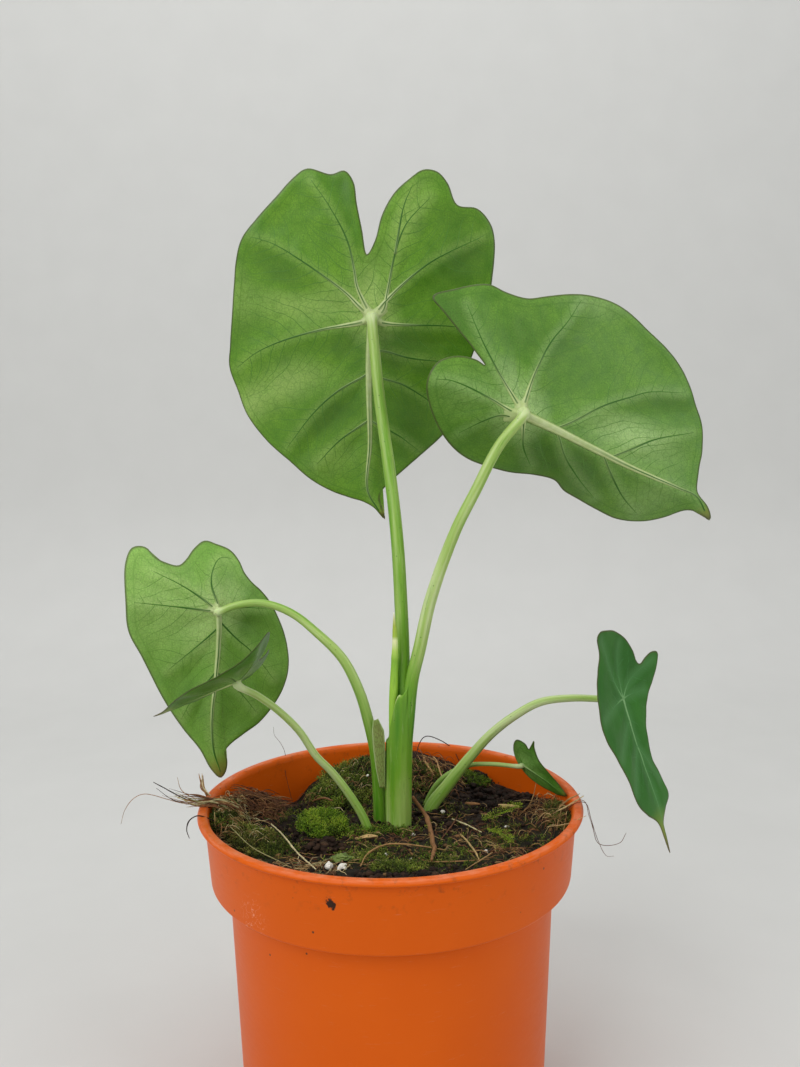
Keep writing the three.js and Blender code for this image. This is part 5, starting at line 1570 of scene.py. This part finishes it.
def add_shoots(shape, feet, tops, leaflets, length, width, tone, hue, lean=0.9):
    """Adds many shoots at once: leaflets in a spiral round the line from each foot to its top."""
    feet, tops = np.asarray(feet, float), np.asarray(tops, float)
    number = len(feet)
    level = (np.arange(leaflets) + 0.5) / leaflets
    turn_by = np.arange(leaflets) * 2.4 + random.uniform(0, 6.28, (number, 1))
    stem = unit(tops - feet)
    helper = np.where(np.abs(stem[:, 2:]) < 0.9, np.array([[0, 0, 1.0]]), np.array([[1.0, 0, 0]]))
    side = unit(np.cross(stem, helper))
    other = np.cross(stem, side)
    out = np.cos(turn_by)[..., None] * side[:, None] + np.sin(turn_by)[..., None] * other[:, None]
    rise = lean * (0.35 + level)[None, :, None]
    x = unit(out + rise * stem[:, None])
    y = unit(np.cross(stem[:, None], x))
    z = np.cross(x, y)
    at = feet[:, None] + (tops - feet)[:, None] * level[None, :, None]
    scale = length * random.uniform(0.7, 1.25, (number, leaflets, 1, 1)) * (
        1 - 0.3 * level[None, :, None, None]
    )
    local = LEAFLET * np.array([1, width, 1])
    points = at[:, :, None] + scale * (
        local[:, 0, None] * x[:, :, None] + local[:, 1, None] * y[:, :, None] + local[:, 2, None] * z[
            :, :, None,
        ]
    )
    total = number * leaflets
    faces = (LEAFLET_FACES[None] + (np.arange(total) * len(LEAFLET))[:, None, None]).reshape(-1, 3)
    tones = np.broadcast_to(np.asarray(tone, float).reshape(-1, 1, 1), (number, leaflets, len(LEAFLET)))
    hues = np.broadcast_to(np.asarray(hue, float).reshape(-1, 1, 1), (number, leaflets, len(LEAFLET)))
    shares = np.broadcast_to(level[None, :, None], (number, leaflets, len(LEAFLET)))
    shape.add(points.reshape(-1, 3), faces, tone=tones.ravel(), hue=hues.ravel(), share=shares.ravel())


def turned(x, y, turn_by, at):
    """The points x, y turned by an angle and moved to the given middle."""
    c, s = math.cos(turn_by), math.sin(turn_by)
    return np.column_stack([at[0] + x * c - y * s, at[1] + x * s + y * c])


def cushion_feet(at, size, turn_by, number, spread=1.0):
    """Random feet inside an oval patch, with their distance from its middle from 0 to 1."""
    reach, angle = np.sqrt(random.uniform(0, 1, number)) * spread, random.uniform(0, 2 * np.pi, number)
    x, y = size[0] * reach * np.cos(angle), size[1] * reach * np.sin(angle)
    return turned(x, y, turn_by, at), reach


CUSHIONS = {
    # name: middle, half sizes, height, turn, shoots, shoot length, leaflet length, hue (1 is olive)
    "bright_moss_cushion": ((-19, -2.5), (6.5, 8.5), 4.8, 0.2, 760, 2.6, 1.0, 0.05),
    "olive_moss_mound": ((-15.5, 21.5), (9.5, 11), 4.4, 0.3, 800, 2.8, 1.15, 0.7),
    "back_left_moss": ((-13, 34), (10, 7.5), 4.2, -0.3, 420, 2.6, 1.15, 0.8),
    "back_moss_mound": ((9.5, 27), (7, 8), 3.0, 0.0, 300, 2.2, 1.1, 0.8),
    "wall_moss_cushion": ((26, 33), (5, 4.5), 3.5, -0.6, 340, 1.8, 0.9, 0.25),
    "left_moss_carpet": ((-34.5, -16), (8, 9.5), 2.4, 0.5, 560, 2.1, 1.0, 0.9),
    "front_moss_cushion": ((2, -37), (6, 4.5), 2.2, 0.0, 340, 1.7, 0.85, 0.7),
    "left_rim_moss": ((-45.2, -6), (2.9, 10), 2.4, 0.0, 430, 1.9, 1.0, 0.9),
    "right_rim_moss": ((45.2, -6), (2.9, 10), 2.4, 0.0, 380, 1.8, 0.9, 0.95),
}
for name, (at, size, tall, turn_by, number, shoot, leaflet, hue) in CUSHIONS.items():
    cushion = Shape()
    xy, reach = cushion_feet(at, size, turn_by, number)
    ground = soil_height(xy)
    dome = (tall - shoot * 0.8) * np.sqrt(np.maximum(0, 1 - reach**2))
    feet = np.column_stack([xy, ground + dome * random.uniform(0.55, 1.0, number) - 0.5])
    lean = random.normal(0, 0.3, (number, 2)) + (xy - at) / np.max(size) * 0.5
    tops = feet + unit(np.column_stack([lean, np.ones(number)])) * shoot * random.uniform(
        0.6, 1.05, (number, 1),
    )
    tone = 0.5 - 0.16 * (hue > 0.5) + 0.4 * smooth_noise(xy, 3, 8) + random.normal(0, 0.2, number)
    tone = np.clip(tone, 0, 1)
    hues = np.clip(hue + 0.3 * smooth_noise(xy, 5, 9), 0, 1)
    add_shoots(cushion, feet, tops, 8, leaflet, 1.05, tone, hues)
    # The dark body under the shoots is brown peat and old stems.
    body, body_faces = unit_ball(3)
    flat = body[:, :2] * np.array(size) * 0.92
    flat = turned(flat[:, 0], flat[:, 1], turn_by, at)
    lift = np.where(body[:, 2] > 0, body[:, 2] * (tall - shoot * 0.9), body[:, 2] * 1.2)
    points = np.column_stack([flat, soil_height(flat) + lift + 0.35 * smooth_noise(flat, 1.3, 4)])
    cushion.add(points, body_faces, 1, tone=0.4)
    stands_for = [name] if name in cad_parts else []
    slot = "bright_moss" if hue < 0.5 else "olive_moss"
    cushion.make(f"{name}_shoots", [moss_finish, crumb_finish], stands_for)

# %% [markdown]
# Between the cushions single moss shoots grow nearly everywhere, most of them round the foot of the
# stalks and at the front. Where they stand is chosen by how near each random point is to a few
# middles, so they thin out towards the bare, dark soil at the right.

# %% Loose moss
GROWTH = [
    # middle, spread in x and y, number, hue
    ((1, -5), (6, 3.5), 200, 0.35), ((-6, -24), (9, 8), 330, 0.75), ((-30, -20), (9, 8), 260, 0.95),
    ((10, -33), (11, 6), 260, 0.85), ((-28, 8), (8, 8), 120, 0.9), ((30, -14), (11, 12), 240, 0.8),
    ((-9, 12), (8, 8), 160, 0.6), ((16, 10), (9, 9), 120, 0.95), ((-41, -10), (4, 9), 130, 0.95),
    ((-9, -6), (5, 4), 160, 0.15), ((14, -22), (7, 6), 110, 0.6),
]
loose = Shape()
for at, spread, number, hue in GROWTH:
    xy = np.array(at) + random.normal(0, 0.6, (number, 2)) * spread
    xy = xy[(np.hypot(*xy.T) < 46) & (in_pocket(xy) < 0.2)]
    number = len(xy)
    feet = np.column_stack([xy, crumbled(xy) - 0.3])
    lean = random.normal(0, 0.8, (number, 2))
    tops = feet + unit(np.column_stack([lean, np.ones(number)])) * random.uniform(1.0, 2.4, (number, 1))
    tone = np.clip(0.38 + 0.3 * smooth_noise(xy, 4, 12) + random.normal(0, 0.22, number), 0, 1)
    hues = np.clip(hue + random.normal(0, 0.25, number), 0, 1)
    add_shoots(loose, feet, tops, 7, 0.95, 1.0, tone, hues)
loose.make("loose_moss_shoots", [moss_finish], ())

# %% [markdown]
# Feather moss looks like a tiny fern: a stem with side branches that get shorter to its tip, each
# set with leaflets. The two sprigs lie on the soil at the right.

# %% Feather moss
def ground_route(route, radius):
    """CAD points (x, y, height above the soil) as places in space."""
    route = np.asarray(route, float)
    return np.column_stack([route[:, :2], soil_height(route[:, :2]) + route[:, 2] + radius])


FEATHERS = {
    "feather_moss_sprig_1": ([(25, -3.4, 0.5), (31, -0.6, 1.2), (36.4, 3, 1.4)], 0.9, 2.9),
    "feather_moss_sprig_2": ([(26.2, -11, 0.5), (29, -15.6, 1.0), (30.8, -20.6, 0.5)], 0.8, 2.3),
}
for name, (route, radius, reach) in FEATHERS.items():
    sprig = Shape()
    line = smooth_curve(ground_route(route, radius * 0.8) + [0, 0, 0.9], 0.85)
    add_tube(sprig, line, (0.16, 0.14, 0.07), 6, tone=0.5, hue=0.1)
    tangents, _, _ = path_frames(line)
    flat = unit(np.cross(tangents, [0, 0, 1.0]))
    share = np.linspace(0, 1, len(line))[:, None]
    length = reach * np.sin(np.pi * (0.12 + 0.85 * share)) ** 0.7
    for side in (-1, 1):
        out = unit(side * flat + 0.75 * tangents + [0, 0, 0.3]) * length * random.uniform(
            0.75, 1.1, (len(line), 1),
        )
        out[:, 2] += random.normal(0, 0.25, len(line))
        tone = random.uniform(0.7, 1.0, len(line))
        add_shoots(sprig, line, line + out, 10, 0.75, 0.8, tone, 0.0, lean=1.2)
    sprig.make(f"{name}_fronds", [moss_finish], [name])


# %% [markdown]
# ## Liverwort, perlite and a dry flake
#
# A liverwort is a flat green plant with rounded lobes that overlap. Perlite is volcanic glass blown
# up to a white foam, so its grains are chalky and pitted. The flake is a bit of a dead leaf.


# %% Liverwort
def paint_liverwort(add):
    where = (add("TexCoord"), "Object")
    tone = (add("Attribute", attribute_name="tone"), "Fac")
    plates = add("TexVoronoi", feature="DISTANCE_TO_EDGE", Vector=where, Scale=1 / (0.45 * MM))
    colour = add("Mix", Factor=tone, A="#4c5f25", B="#86994c")
    colour = tint(add, colour, "#39491c", (plates, "Distance"), 0.12, 0.02, 0.5)
    bumps = add("Bump", Height=(plates, "Distance"), Strength=0.5, Distance=0.1 * MM)
    return dict(Base_Color=colour, Normal=bumps)


liverwort = finish_of("liverwort lobes, leathery", paint_liverwort, Roughness=0.5, IOR=1.4)
lobes = Shape()
fine_ball, fine_faces = unit_ball(3)
for number in range(26):
    away, angle = random.uniform(0, 0.85), random.uniform(0, 2 * np.pi)
    x, y = -11.5 + 3.4 * away * math.cos(angle), -29.5 + 2.0 * away * math.sin(angle)
    size = random.uniform(0.8, 1.35)
    notch = 1 - 0.3 * np.exp(-((np.arctan2(fine_ball[:, 1], fine_ball[:, 0]) / 0.35) ** 2))
    tilt = random.uniform(-0.35, 0.35, 2)
    points = fine_ball * notch[:, None] * [size, size * 0.85, 0.28]
    points[:, 2] += points[:, 0] * tilt[0] + points[:, 1] * tilt[1] + 0.18 * size * fine_ball[:, 0] ** 2
    points = points @ about_z(angle)
    z = soil_height([(x, y)])[0] + 0.5 + 1.1 * (1 - away)
    lobes.add(points + (x, y, z), fine_faces, tone=random.uniform(0.1, 1))
lobes.make("liverwort_lobes", [liverwort], ["liverwort_lump"])


# %% Perlite
def paint_perlite(add):
    where = (add("TexCoord"), "Object")
    foam = add("TexVoronoi", Vector=where, Scale=1 / (0.35 * MM))
    stain = add("TexNoise", Vector=where, Scale=1 / (0.9 * MM), Detail=4.0)
    colour = tint(add, "#e9e4da", "#a58f74", stain, 0.5, 0.75, 0.45)
    bumps = add("Bump", Height=(foam, "Distance"), Strength=0.7, Distance=0.15 * MM)
    return dict(Base_Color=colour, Normal=bumps)


perlite = finish_of("expanded perlite, chalky", paint_perlite, Roughness=0.9, IOR=1.5)
GRAINS = [(-14.2, -36.9, 1.3), (-11.0, -38.4, 1.3), (5.2, -30.2, 0.6), (14.6, 6.6, 0.7)]
for number, (x, y, radius) in enumerate(GRAINS, 1):
    grain = Shape()
    rugged = 0.9 + 0.42 * smooth_noise(fine_ball * radius + 9 * number, 0.9, 6) + 0.16 * smooth_noise(
        fine_ball * radius, 0.35, 7,
    )
    points = fine_ball * rugged[:, None] * radius * [0.95 if number % 2 == 0 else 0.75, 0.85, 0.9]
    z = soil_height([(x, y)])[0] + radius * 0.72
    grain.add(points + (x, y, z), fine_faces)
    grain.make(f"perlite_{number}", [perlite], [f"perlite_grain_{number}"])
specks = Shape()
ON_MOUND = (-7.4, 25.1)  # this speck lies on the moss, 2.6 mm over the soil
for x, y in [
    (-1, -23.9), ON_MOUND, (11.5, 10), (31.8, -4), (-22, -31), (24, -24), (-33, -3), (6, -8.5),
]:
    size = random.uniform(0.35, 0.55)
    add_lump(
        specks, (x, y, crumbled([(x, y)])[0] + size * 0.6 + (2.6 if (x, y) == ON_MOUND else 0)),
        size, flat=1.0, fine=True,
    )
specks.make("perlite_dust", [perlite], ())

# %% [markdown]
# ## Straws, roots and fibres
#
# Coir is coconut fibre, so the mix is full of thin stiff threads, brown to straw-coloured, and the
# plants before have left dead roots and grass straws. They are all tubes. A straw is flattened and
# has a swelling at a node, and a root tapers and wanders. All share one finish, with a tone for
# each, from dark brown through red-brown and straw to olive.


# %% Fibre finish
def paint_fibre(add):
    where = (add("TexCoord"), "Object")
    tone = (add("Attribute", attribute_name="tone"), "Fac")
    ramp = [
        (0.0, "#1d140e"), (0.2, "#4a2c1c"), (0.4, "#7d4f30"), (0.6, "#a57c4d"), (0.78, "#c9ab74"),
        (0.88, "#e0cfa2"), (1.0, "#85874c"),
    ]
    colour = (add("ValToRGB", Fac=tone, ramp=ramp), "Color")
    # Stains about 1.2 mm across also roughen the fibre.
    stain = add("TexNoise", Vector=where, Scale=1 / (1.2 * MM), Detail=5.0, Roughness=0.7)
    colour = shaded(add, colour, stain, 0.3, 0.7, 0.55, 1.25)
    bumps = add("Bump", Height=stain, Strength=0.5, Distance=0.1 * MM)
    return dict(Base_Color=colour, Normal=bumps)


fibre = finish_of("dry plant fibre", paint_fibre, Roughness=0.7, IOR=1.45, Specular_IOR_Level=0.35)


def add_straw(shape, path, radius, tone, taper=0.6, flat=0.3, nodes=1.5, sides=10):
    """A straw or root along a path: flattened, a little bent everywhere, with soft nodes."""
    path = smooth_curve(path, max(0.5, radius))
    seed = random.uniform(0, 60)
    path = path + 0.35 * radius * np.column_stack(
        [smooth_noise(path + seed + k * 20, 2.2, k) for k in range(3)]
    )

    def swell(share, angle):
        ring = 0.3 * np.maximum(0, np.cos(share * nodes * 2 * np.pi + seed)) ** 12
        return 1 - flat * np.cos(angle) ** 2 + ring + 0.05 * np.cos(4 * angle + seed)

    add_tube(shape, path, (radius * 0.8, radius, radius, radius * taper), sides, swell=swell, tone=tone)


STRAWS = {
    # name: CAD route as (x, y, height over the soil), radius, tone, taper
    "straw_front_left": (
        [(-33, -3, 0.8), (-28, -15, 2.4), (-22.5, -28, 1.6), (-17, -39, 0.5)], 0.2, 0.9, 0.7,
    ),
    "straw_right_1": (
        [(18.6, -10, 0.4), (20.2, -18, 0.6), (21.3, -26, 0.6), (21.6, -33, 0.4)], 0.26, 0.74, 0.4,
    ),
    "straw_right_2": ([(25.5, -25, 0.4), (23.4, -32, 1.4), (17.6, -41, 0.5)], 0.2, 0.66, 0.5),
    "straw_right_3": ([(17.1, 1.5, 0.4), (20.8, -3.4, 0.6), (24.4, -8.4, 0.4)], 0.2, 0.92, 0.5),
    "rim_straw_1": ([(44.6, -4.5, -0.2), (47.3, -8.6, 4.4), (50, -12.5, 8.2)], 0.22, 0.66, 0.4),
    "rim_straw_2": ([(36, 1, 0.4), (40, 6, 1.6), (42.5, 12, 5.5)], 0.18, 0.62, 0.4),
    "tan_root_loop": (
        [(-6.8, -35.6, 0.4), (-5.2, -27, 1.2), (-0.4, -21.5, 1.8), (6, -21.5, 1.4), (14, -22.5, 0.4)],
        0.24, 0.62, 0.6,
    ),
    "brown_surface_root": (
        [(9.4, 3.6, 0.6), (10.4, -4, 0.6), (10.7, -12, 0.7), (10.9, -17.6, 0.6)], 0.66, 0.47, 0.5,
    ),
}
for name, (route, radius, tone, taper) in STRAWS.items():
    straw = Shape()
    slot = "bark" if name == "brown_surface_root" else "dry_straw"
    route = ground_route(route, radius)
    if name == "brown_surface_root":
        # The root hangs on the sheath at the back, and thins out towards the lip.
        route = np.vstack([[6.2, 6, 89.6], [8, 4.8, 87.4], route, [11.0, -24, 87.2], [10.2, -34, 88.6]])
    add_straw(straw, route, radius, tone, taper, flat=0.12 if slot == "bark" else 0.3)
    straw.make(f"{name}_grown", [fibre], [name])


# %% Flake
flake = Shape()
FLAKE_ROWS, FLAKE_COLUMNS = 15, 26
u, v = np.meshgrid(np.linspace(-1, 1, FLAKE_COLUMNS), np.linspace(-1, 1, FLAKE_ROWS))
wide = 1.15 * np.sqrt(np.maximum(0, 1 - u**2)) ** 1.3 * (1 + 0.15 * np.sin(5 * u))
x, y = 3.2 * u, v * wide
lift = 0.45 + 0.5 * v**2 + 0.25 * np.sin(2.3 * u + 1) + 0.08 * np.cos(9 * v)
turned_x, turned_y = x * 0.98 - y * 0.2 - 6.5, x * 0.2 + y * 0.98 - 12
for offset, over in ((0, True), (0.14, False)):
    z = soil_height(np.column_stack([turned_x.ravel(), turned_y.ravel()])) + lift.ravel() + offset
    points = np.column_stack([turned_x.ravel(), turned_y.ravel(), z])
    quads = grid_faces(FLAKE_ROWS, FLAKE_COLUMNS)
    flake.add(points, quads[:, ::-1] if over else quads, tone=0.72)
close_sheet(flake, FLAKE_ROWS, FLAKE_COLUMNS, flipped=True)
flake.make("dry_leaf_flake_curled", [fibre], ["dry_leaf_flake"], weld=True)

# %% [markdown]
# The rest are nearly two thousand short fibres. Each starts somewhere on the soil, wanders with a
# random heading, and arches over what lies there. At the left rim they pile up to a red-brown mat,
# and at the right rim to a pale tangle.


# %% Fibre zones
def add_fibre(shape, at, heading, length, radius, tone, hop=0.8, curl=0.4, base=None):
    steps = 7
    way = heading + np.cumsum(random.normal(0, curl, steps))
    xy = np.asarray(at) + np.cumsum(
        np.column_stack([np.cos(way), np.sin(way)]) * length / steps, axis=0,
    )
    reach = np.hypot(*xy.T)
    xy = xy * np.minimum(1, 48.0 / np.maximum(reach, 1e-6))[:, None]
    ground = crumbled(xy) if base is None else soil_height(xy) + base
    arch = hop * np.sin(np.pi * np.linspace(0.05, 0.95, steps)) * random.uniform(0.3, 1.0)
    path = np.column_stack([xy, ground + radius + arch])
    add_tube(shape, path, (radius, radius, radius * 0.5), 4, tone=tone)


FIBRE_ZONES = [
    # middle, spread, number, length, radius, tone, hop
    ((-40, -9), (3.5, 11), 150, (4, 11), (0.05, 0.1), (0.3, 1.0), 1.8),
    ((44, -3), (3.5, 11), 80, (4, 11), (0.045, 0.09), (0.25, 0.8), 2.4),
    ((37, 3), (5, 8), 50, (4, 10), (0.045, 0.09), (0.15, 0.8), 1.6),
    ((14, 30), (7, 9), 170, (4, 11), (0.06, 0.15), (0.2, 0.7), 2.6),
    ((0, -5), (22, 20), 280, (3, 9), (0.04, 0.1), (0.1, 0.8), 1.2),
    ((27, -20), (9, 11), 130, (3, 9), (0.045, 0.1), (0.2, 0.8), 1.3),
    ((-20, -35), (12, 5), 110, (4, 9), (0.05, 0.11), (0.3, 1.0), 1.3),
    ((-14, 24), (9, 10), 110, (4, 9), (0.05, 0.12), (0.25, 0.95), 4.0),
    ((28, 28), (8, 6), 90, (3, 8), (0.05, 0.12), (0.1, 0.6), 1.6),
    ((-45, -6), (1.2, 10), 150, (3, 8), (0.05, 0.11), (0.4, 1.0), 2.6),
    ((44.5, -6), (1.2, 10), 90, (3, 8), (0.05, 0.1), (0.25, 0.85), 2.4),
]
threads = Shape()
for at, spread, number, lengths, radii, tones, hop in FIBRE_ZONES:
    for _ in range(number):
        place = np.array(at) + random.normal(0, 0.7, 2) * spread
        if np.hypot(*place) > 47.5 or in_pocket([place])[0] > 0.1:
            continue
        add_fibre(
            threads, place, random.uniform(0, 2 * np.pi), random.uniform(*lengths), random.uniform(
                *radii
            ),
            random.uniform(*tones), hop,
        )
threads.make("coir_fibres", [fibre], ())

MAT_X, MAT_Y = -38.5, 11
mat = Shape()
for _ in range(520):
    away, angle = math.sqrt(random.random()), random.uniform(0, 2 * np.pi)
    x, y = 6.0 * away * math.cos(angle), 10.0 * away * math.sin(angle)
    c, s = math.cos(0.35), math.sin(0.35)
    place = (MAT_X + x * c - y * s, MAT_Y + x * s + y * c)
    base = random.uniform(0.0, 4.2) * math.sqrt(1 - away * away * 0.9)
    add_fibre(
        mat, place, random.uniform(0, 2 * np.pi), random.uniform(3, 8), random.uniform(0.05, 0.13),
        random.uniform(0.2, 0.56), 0.9, 0.5, base,
    )
for _ in range(60):
    away, angle = math.sqrt(random.random()), random.uniform(0, 2 * np.pi)
    x, y = MAT_X + 4.2 * away * math.cos(angle), MAT_Y + 7 * away * math.sin(angle)
    z = soil_height([(x, y)])[0] + 3.4 * math.sqrt(1 - away * away * 0.95) * random.uniform(0.2, 1)
    add_lump(mat, (x, y, z), random.uniform(0.4, 1.1), 1, tone=random.uniform(0.2, 0.6))
mat.make("red_brown_root_mat", [fibre, crumb_finish], ["root_mat"])

# %% [markdown]
# A clump of coir hangs over the left of the rim with twigs and black roots in it, and long hairs
# stand out from it. A few more hang over the right and the back. Every one of them starts on the
# soil or on the lip.

# %% Twigs and hairs at the rim
twigs = Shape()
TWIG_ROUTE = np.array([(-42, -4, 90.2), (-47, -4.5, 92.2), (-53, -5, 92.7), (-58.2, -5.4, 95.0)])
for number in range(34):
    push = random.normal(0, 1, 3) * (1.4, 2.0, 0.4)
    route = TWIG_ROUTE + push * np.linspace(0.6, 1.0, 4)[:, None] + random.normal(0, 0.55, (4, 3))
    route[:, 2] = np.maximum(route[:, 2], [88.5, 92.35, 92.35, 92.35])
    end = 4 if number % 3 == 0 else 3
    tone = random.uniform(0.2, 0.65) if number % 4 else random.uniform(0.9, 1.0)
    add_straw(twigs, route[:end], random.uniform(0.07, 0.17), tone, 0.3, 0.1, 1, 7)
twigs.make("coir_over_left_rim", [fibre], ["rim_twig"])

stub = Shape()
for number in range(7):
    route = np.array([(-51.3, 1.0, 92.5), (-52.8, 1.2, 94.8), (-53.3, 1.6, 98.0)]) + random.normal(
        0, 0.3, 3,
    )
    route[:, 0] += random.normal(0, 0.35, 3)
    route[0, 2] = 92.3
    add_straw(stub, route, random.uniform(0.14, 0.32), random.uniform(0.5, 1.0), 0.35, 0.5, 1, 7)
stub.make("frayed_sheath_on_rim", [fibre], ["rim_stub"])

HAIRS = [
    # points, radius, tone
    (
        [
            (-47, -4, 91.5), (-52, -4, 92.6), (-56, -4, 92.0), (-61.2, -4, 93.3), (-67.2, -4, 94.8),
            (-70.2, -4, 93.7), (-72.8, -4, 90.4), (-74, -4, 86.5),
        ],
        0.09, 0.5,
    ),
    (
        [(-48, -4, 91.2), (-53.1, -4, 92.6), (-56, -4, 93.2), (-60.3, -4, 95.5), (-64.9, -4, 98.1)],
        0.16, 0.05,
    ),
    ([(-49, -6, 91.5), (-54, -6, 92.6), (-59, -6, 93.8), (-63.5, -6, 97.1)], 0.1, 0.08),
    (
        [
            (-46, -13, 90.5), (-50.3, -14, 92.4), (-52.6, -14, 91.2), (-53.4, -14, 88.6),
            (-52.7, -14, 86.4),
        ],
        0.16, 0.04,
    ),
    ([(-50.2, -1, 92.3), (-54.5, -2, 92.9), (-57.5, -3, 95.5), (-58.5, -3, 99)], 0.1, 0.6),
    (
        [
            (-32, 32.6, 79.4), (-34.3, 35.2, 88), (-34.5, 37.5, 92.6), (-36, 39, 95.5),
            (-38.3, 40, 98.2), (-38.5, 40, 100.8),
        ],
        0.08, 0.25,
    ),
    (
        [
            (8, 43, 90.3), (9, 46.6, 92.6), (10.3, 47, 94.5), (12, 47, 95.1), (16, 47, 93.7),
            (20, 46, 91.2), (22, 43, 88),
        ],
        0.17, 0.04,
    ),
    (
        [
            (46, -8, 88.6), (49.8, -8, 92.2), (52.5, -8, 92.2), (54, -8, 87.6), (56.1, -8, 81),
            (61.7, -8, 81.2), (63.4, -8, 83.9),
        ],
        0.09, 0.3,
    ),
    ([(54, -8, 87.6), (56.1, -8, 81.2), (58.2, -8, 77.6), (60.1, -8, 77.6)], 0.08, 0.3),
    (
        [(47, -6, 88.8), (50.8, -6, 92.3), (52.8, -6, 91.8), (53.8, -6, 88.2), (55.2, -6, 83.4)],
        0.08, 0.35,
    ),
    ([(43, -6, 88.2), (47.5, -8, 91.4), (51.8, -9, 94.6)], 0.22, 0.8),
    ([(41, -14, 88.2), (46, -17.5, 90.5), (50, -20, 93.4)], 0.12, 0.75),
    ([(10.2, 41, 89.5), (10.8, 33.7, 90.2), (13.4, 27.1, 88)], 0.4, 0.62),
    ([(13.5, 42, 89.6), (14.5, 37.5, 89.4), (15.1, 29.6, 88.6), (16.8, 22, 86)], 0.28, 0.66),
    ([(21.5, 12, 85.2), (25.9, 10.3, 85.4)], 0.42, 0.5),
    ([(31.2, 10, 85.2), (36.7, 6.2, 86.2)], 0.5, 0.74),
    ([(-24, 16, 84.8), (-20, 12, 87.2), (-17, 8, 88)], 0.3, 0.45),
    ([(13, -14, 84.9), (17, -4, 85.4), (19, 4, 85)], 0.2, 0.3),
    ([(5, -24, 86.2), (9, -32, 87.5), (15, -34, 88.2), (24, -33, 88.2)], 0.15, 0.6),
    ([(-42, -14, 89.4), (-34, -26, 88.8), (-24, -37, 89.2)], 0.12, 0.97),
]
hairs = Shape()
for route, radius, tone in HAIRS:
    route = [route[0], np.mean(route, 0), route[1]] if len(route) == 2 else route
    add_straw(hairs, route, radius, tone, 0.5, 0.1, 1, 7)
hairs.make("roots_and_hairs", [fibre], ())

# %% [markdown]
# ## The corm
#
# The corm is the plant's swollen underground stem. The soil hides it, so the CAD's shape is enough,
# and it only gets its skin: brown and corky, with broad uneven bands, the scars of old leaves.


# %% Corm skin
def paint_corm(add):
    where = (add("TexCoord"), "Object")
    rings = add("TexWave", bands_direction="Z", Vector=where, Scale=20, Distortion=2.0)
    cork = add("TexNoise", Vector=where, Scale=1 / (0.8 * MM), Detail=5.0)
    colour = add("Mix", Factor=cork, A="#4b3020", B="#8a6647")
    colour = add("Mix", Factor=rings, A="#3a2417", B=colour)
    relief = add("Math", rings, cork, operation="ADD")
    return dict(Base_Color=colour, Normal=add("Bump", Height=relief, Distance=0.3 * MM))


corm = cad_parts["corm"]
corm_skin = finish_of("corky corm skin", paint_corm, Roughness=0.85, IOR=1.45)
for corm_slot in corm.material_slots:
    corm_slot.material = corm_skin
print("corm slots:", len(corm.material_slots))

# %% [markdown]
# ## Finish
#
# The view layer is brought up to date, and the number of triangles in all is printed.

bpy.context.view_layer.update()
print("triangles in all:", sum(made.values()))
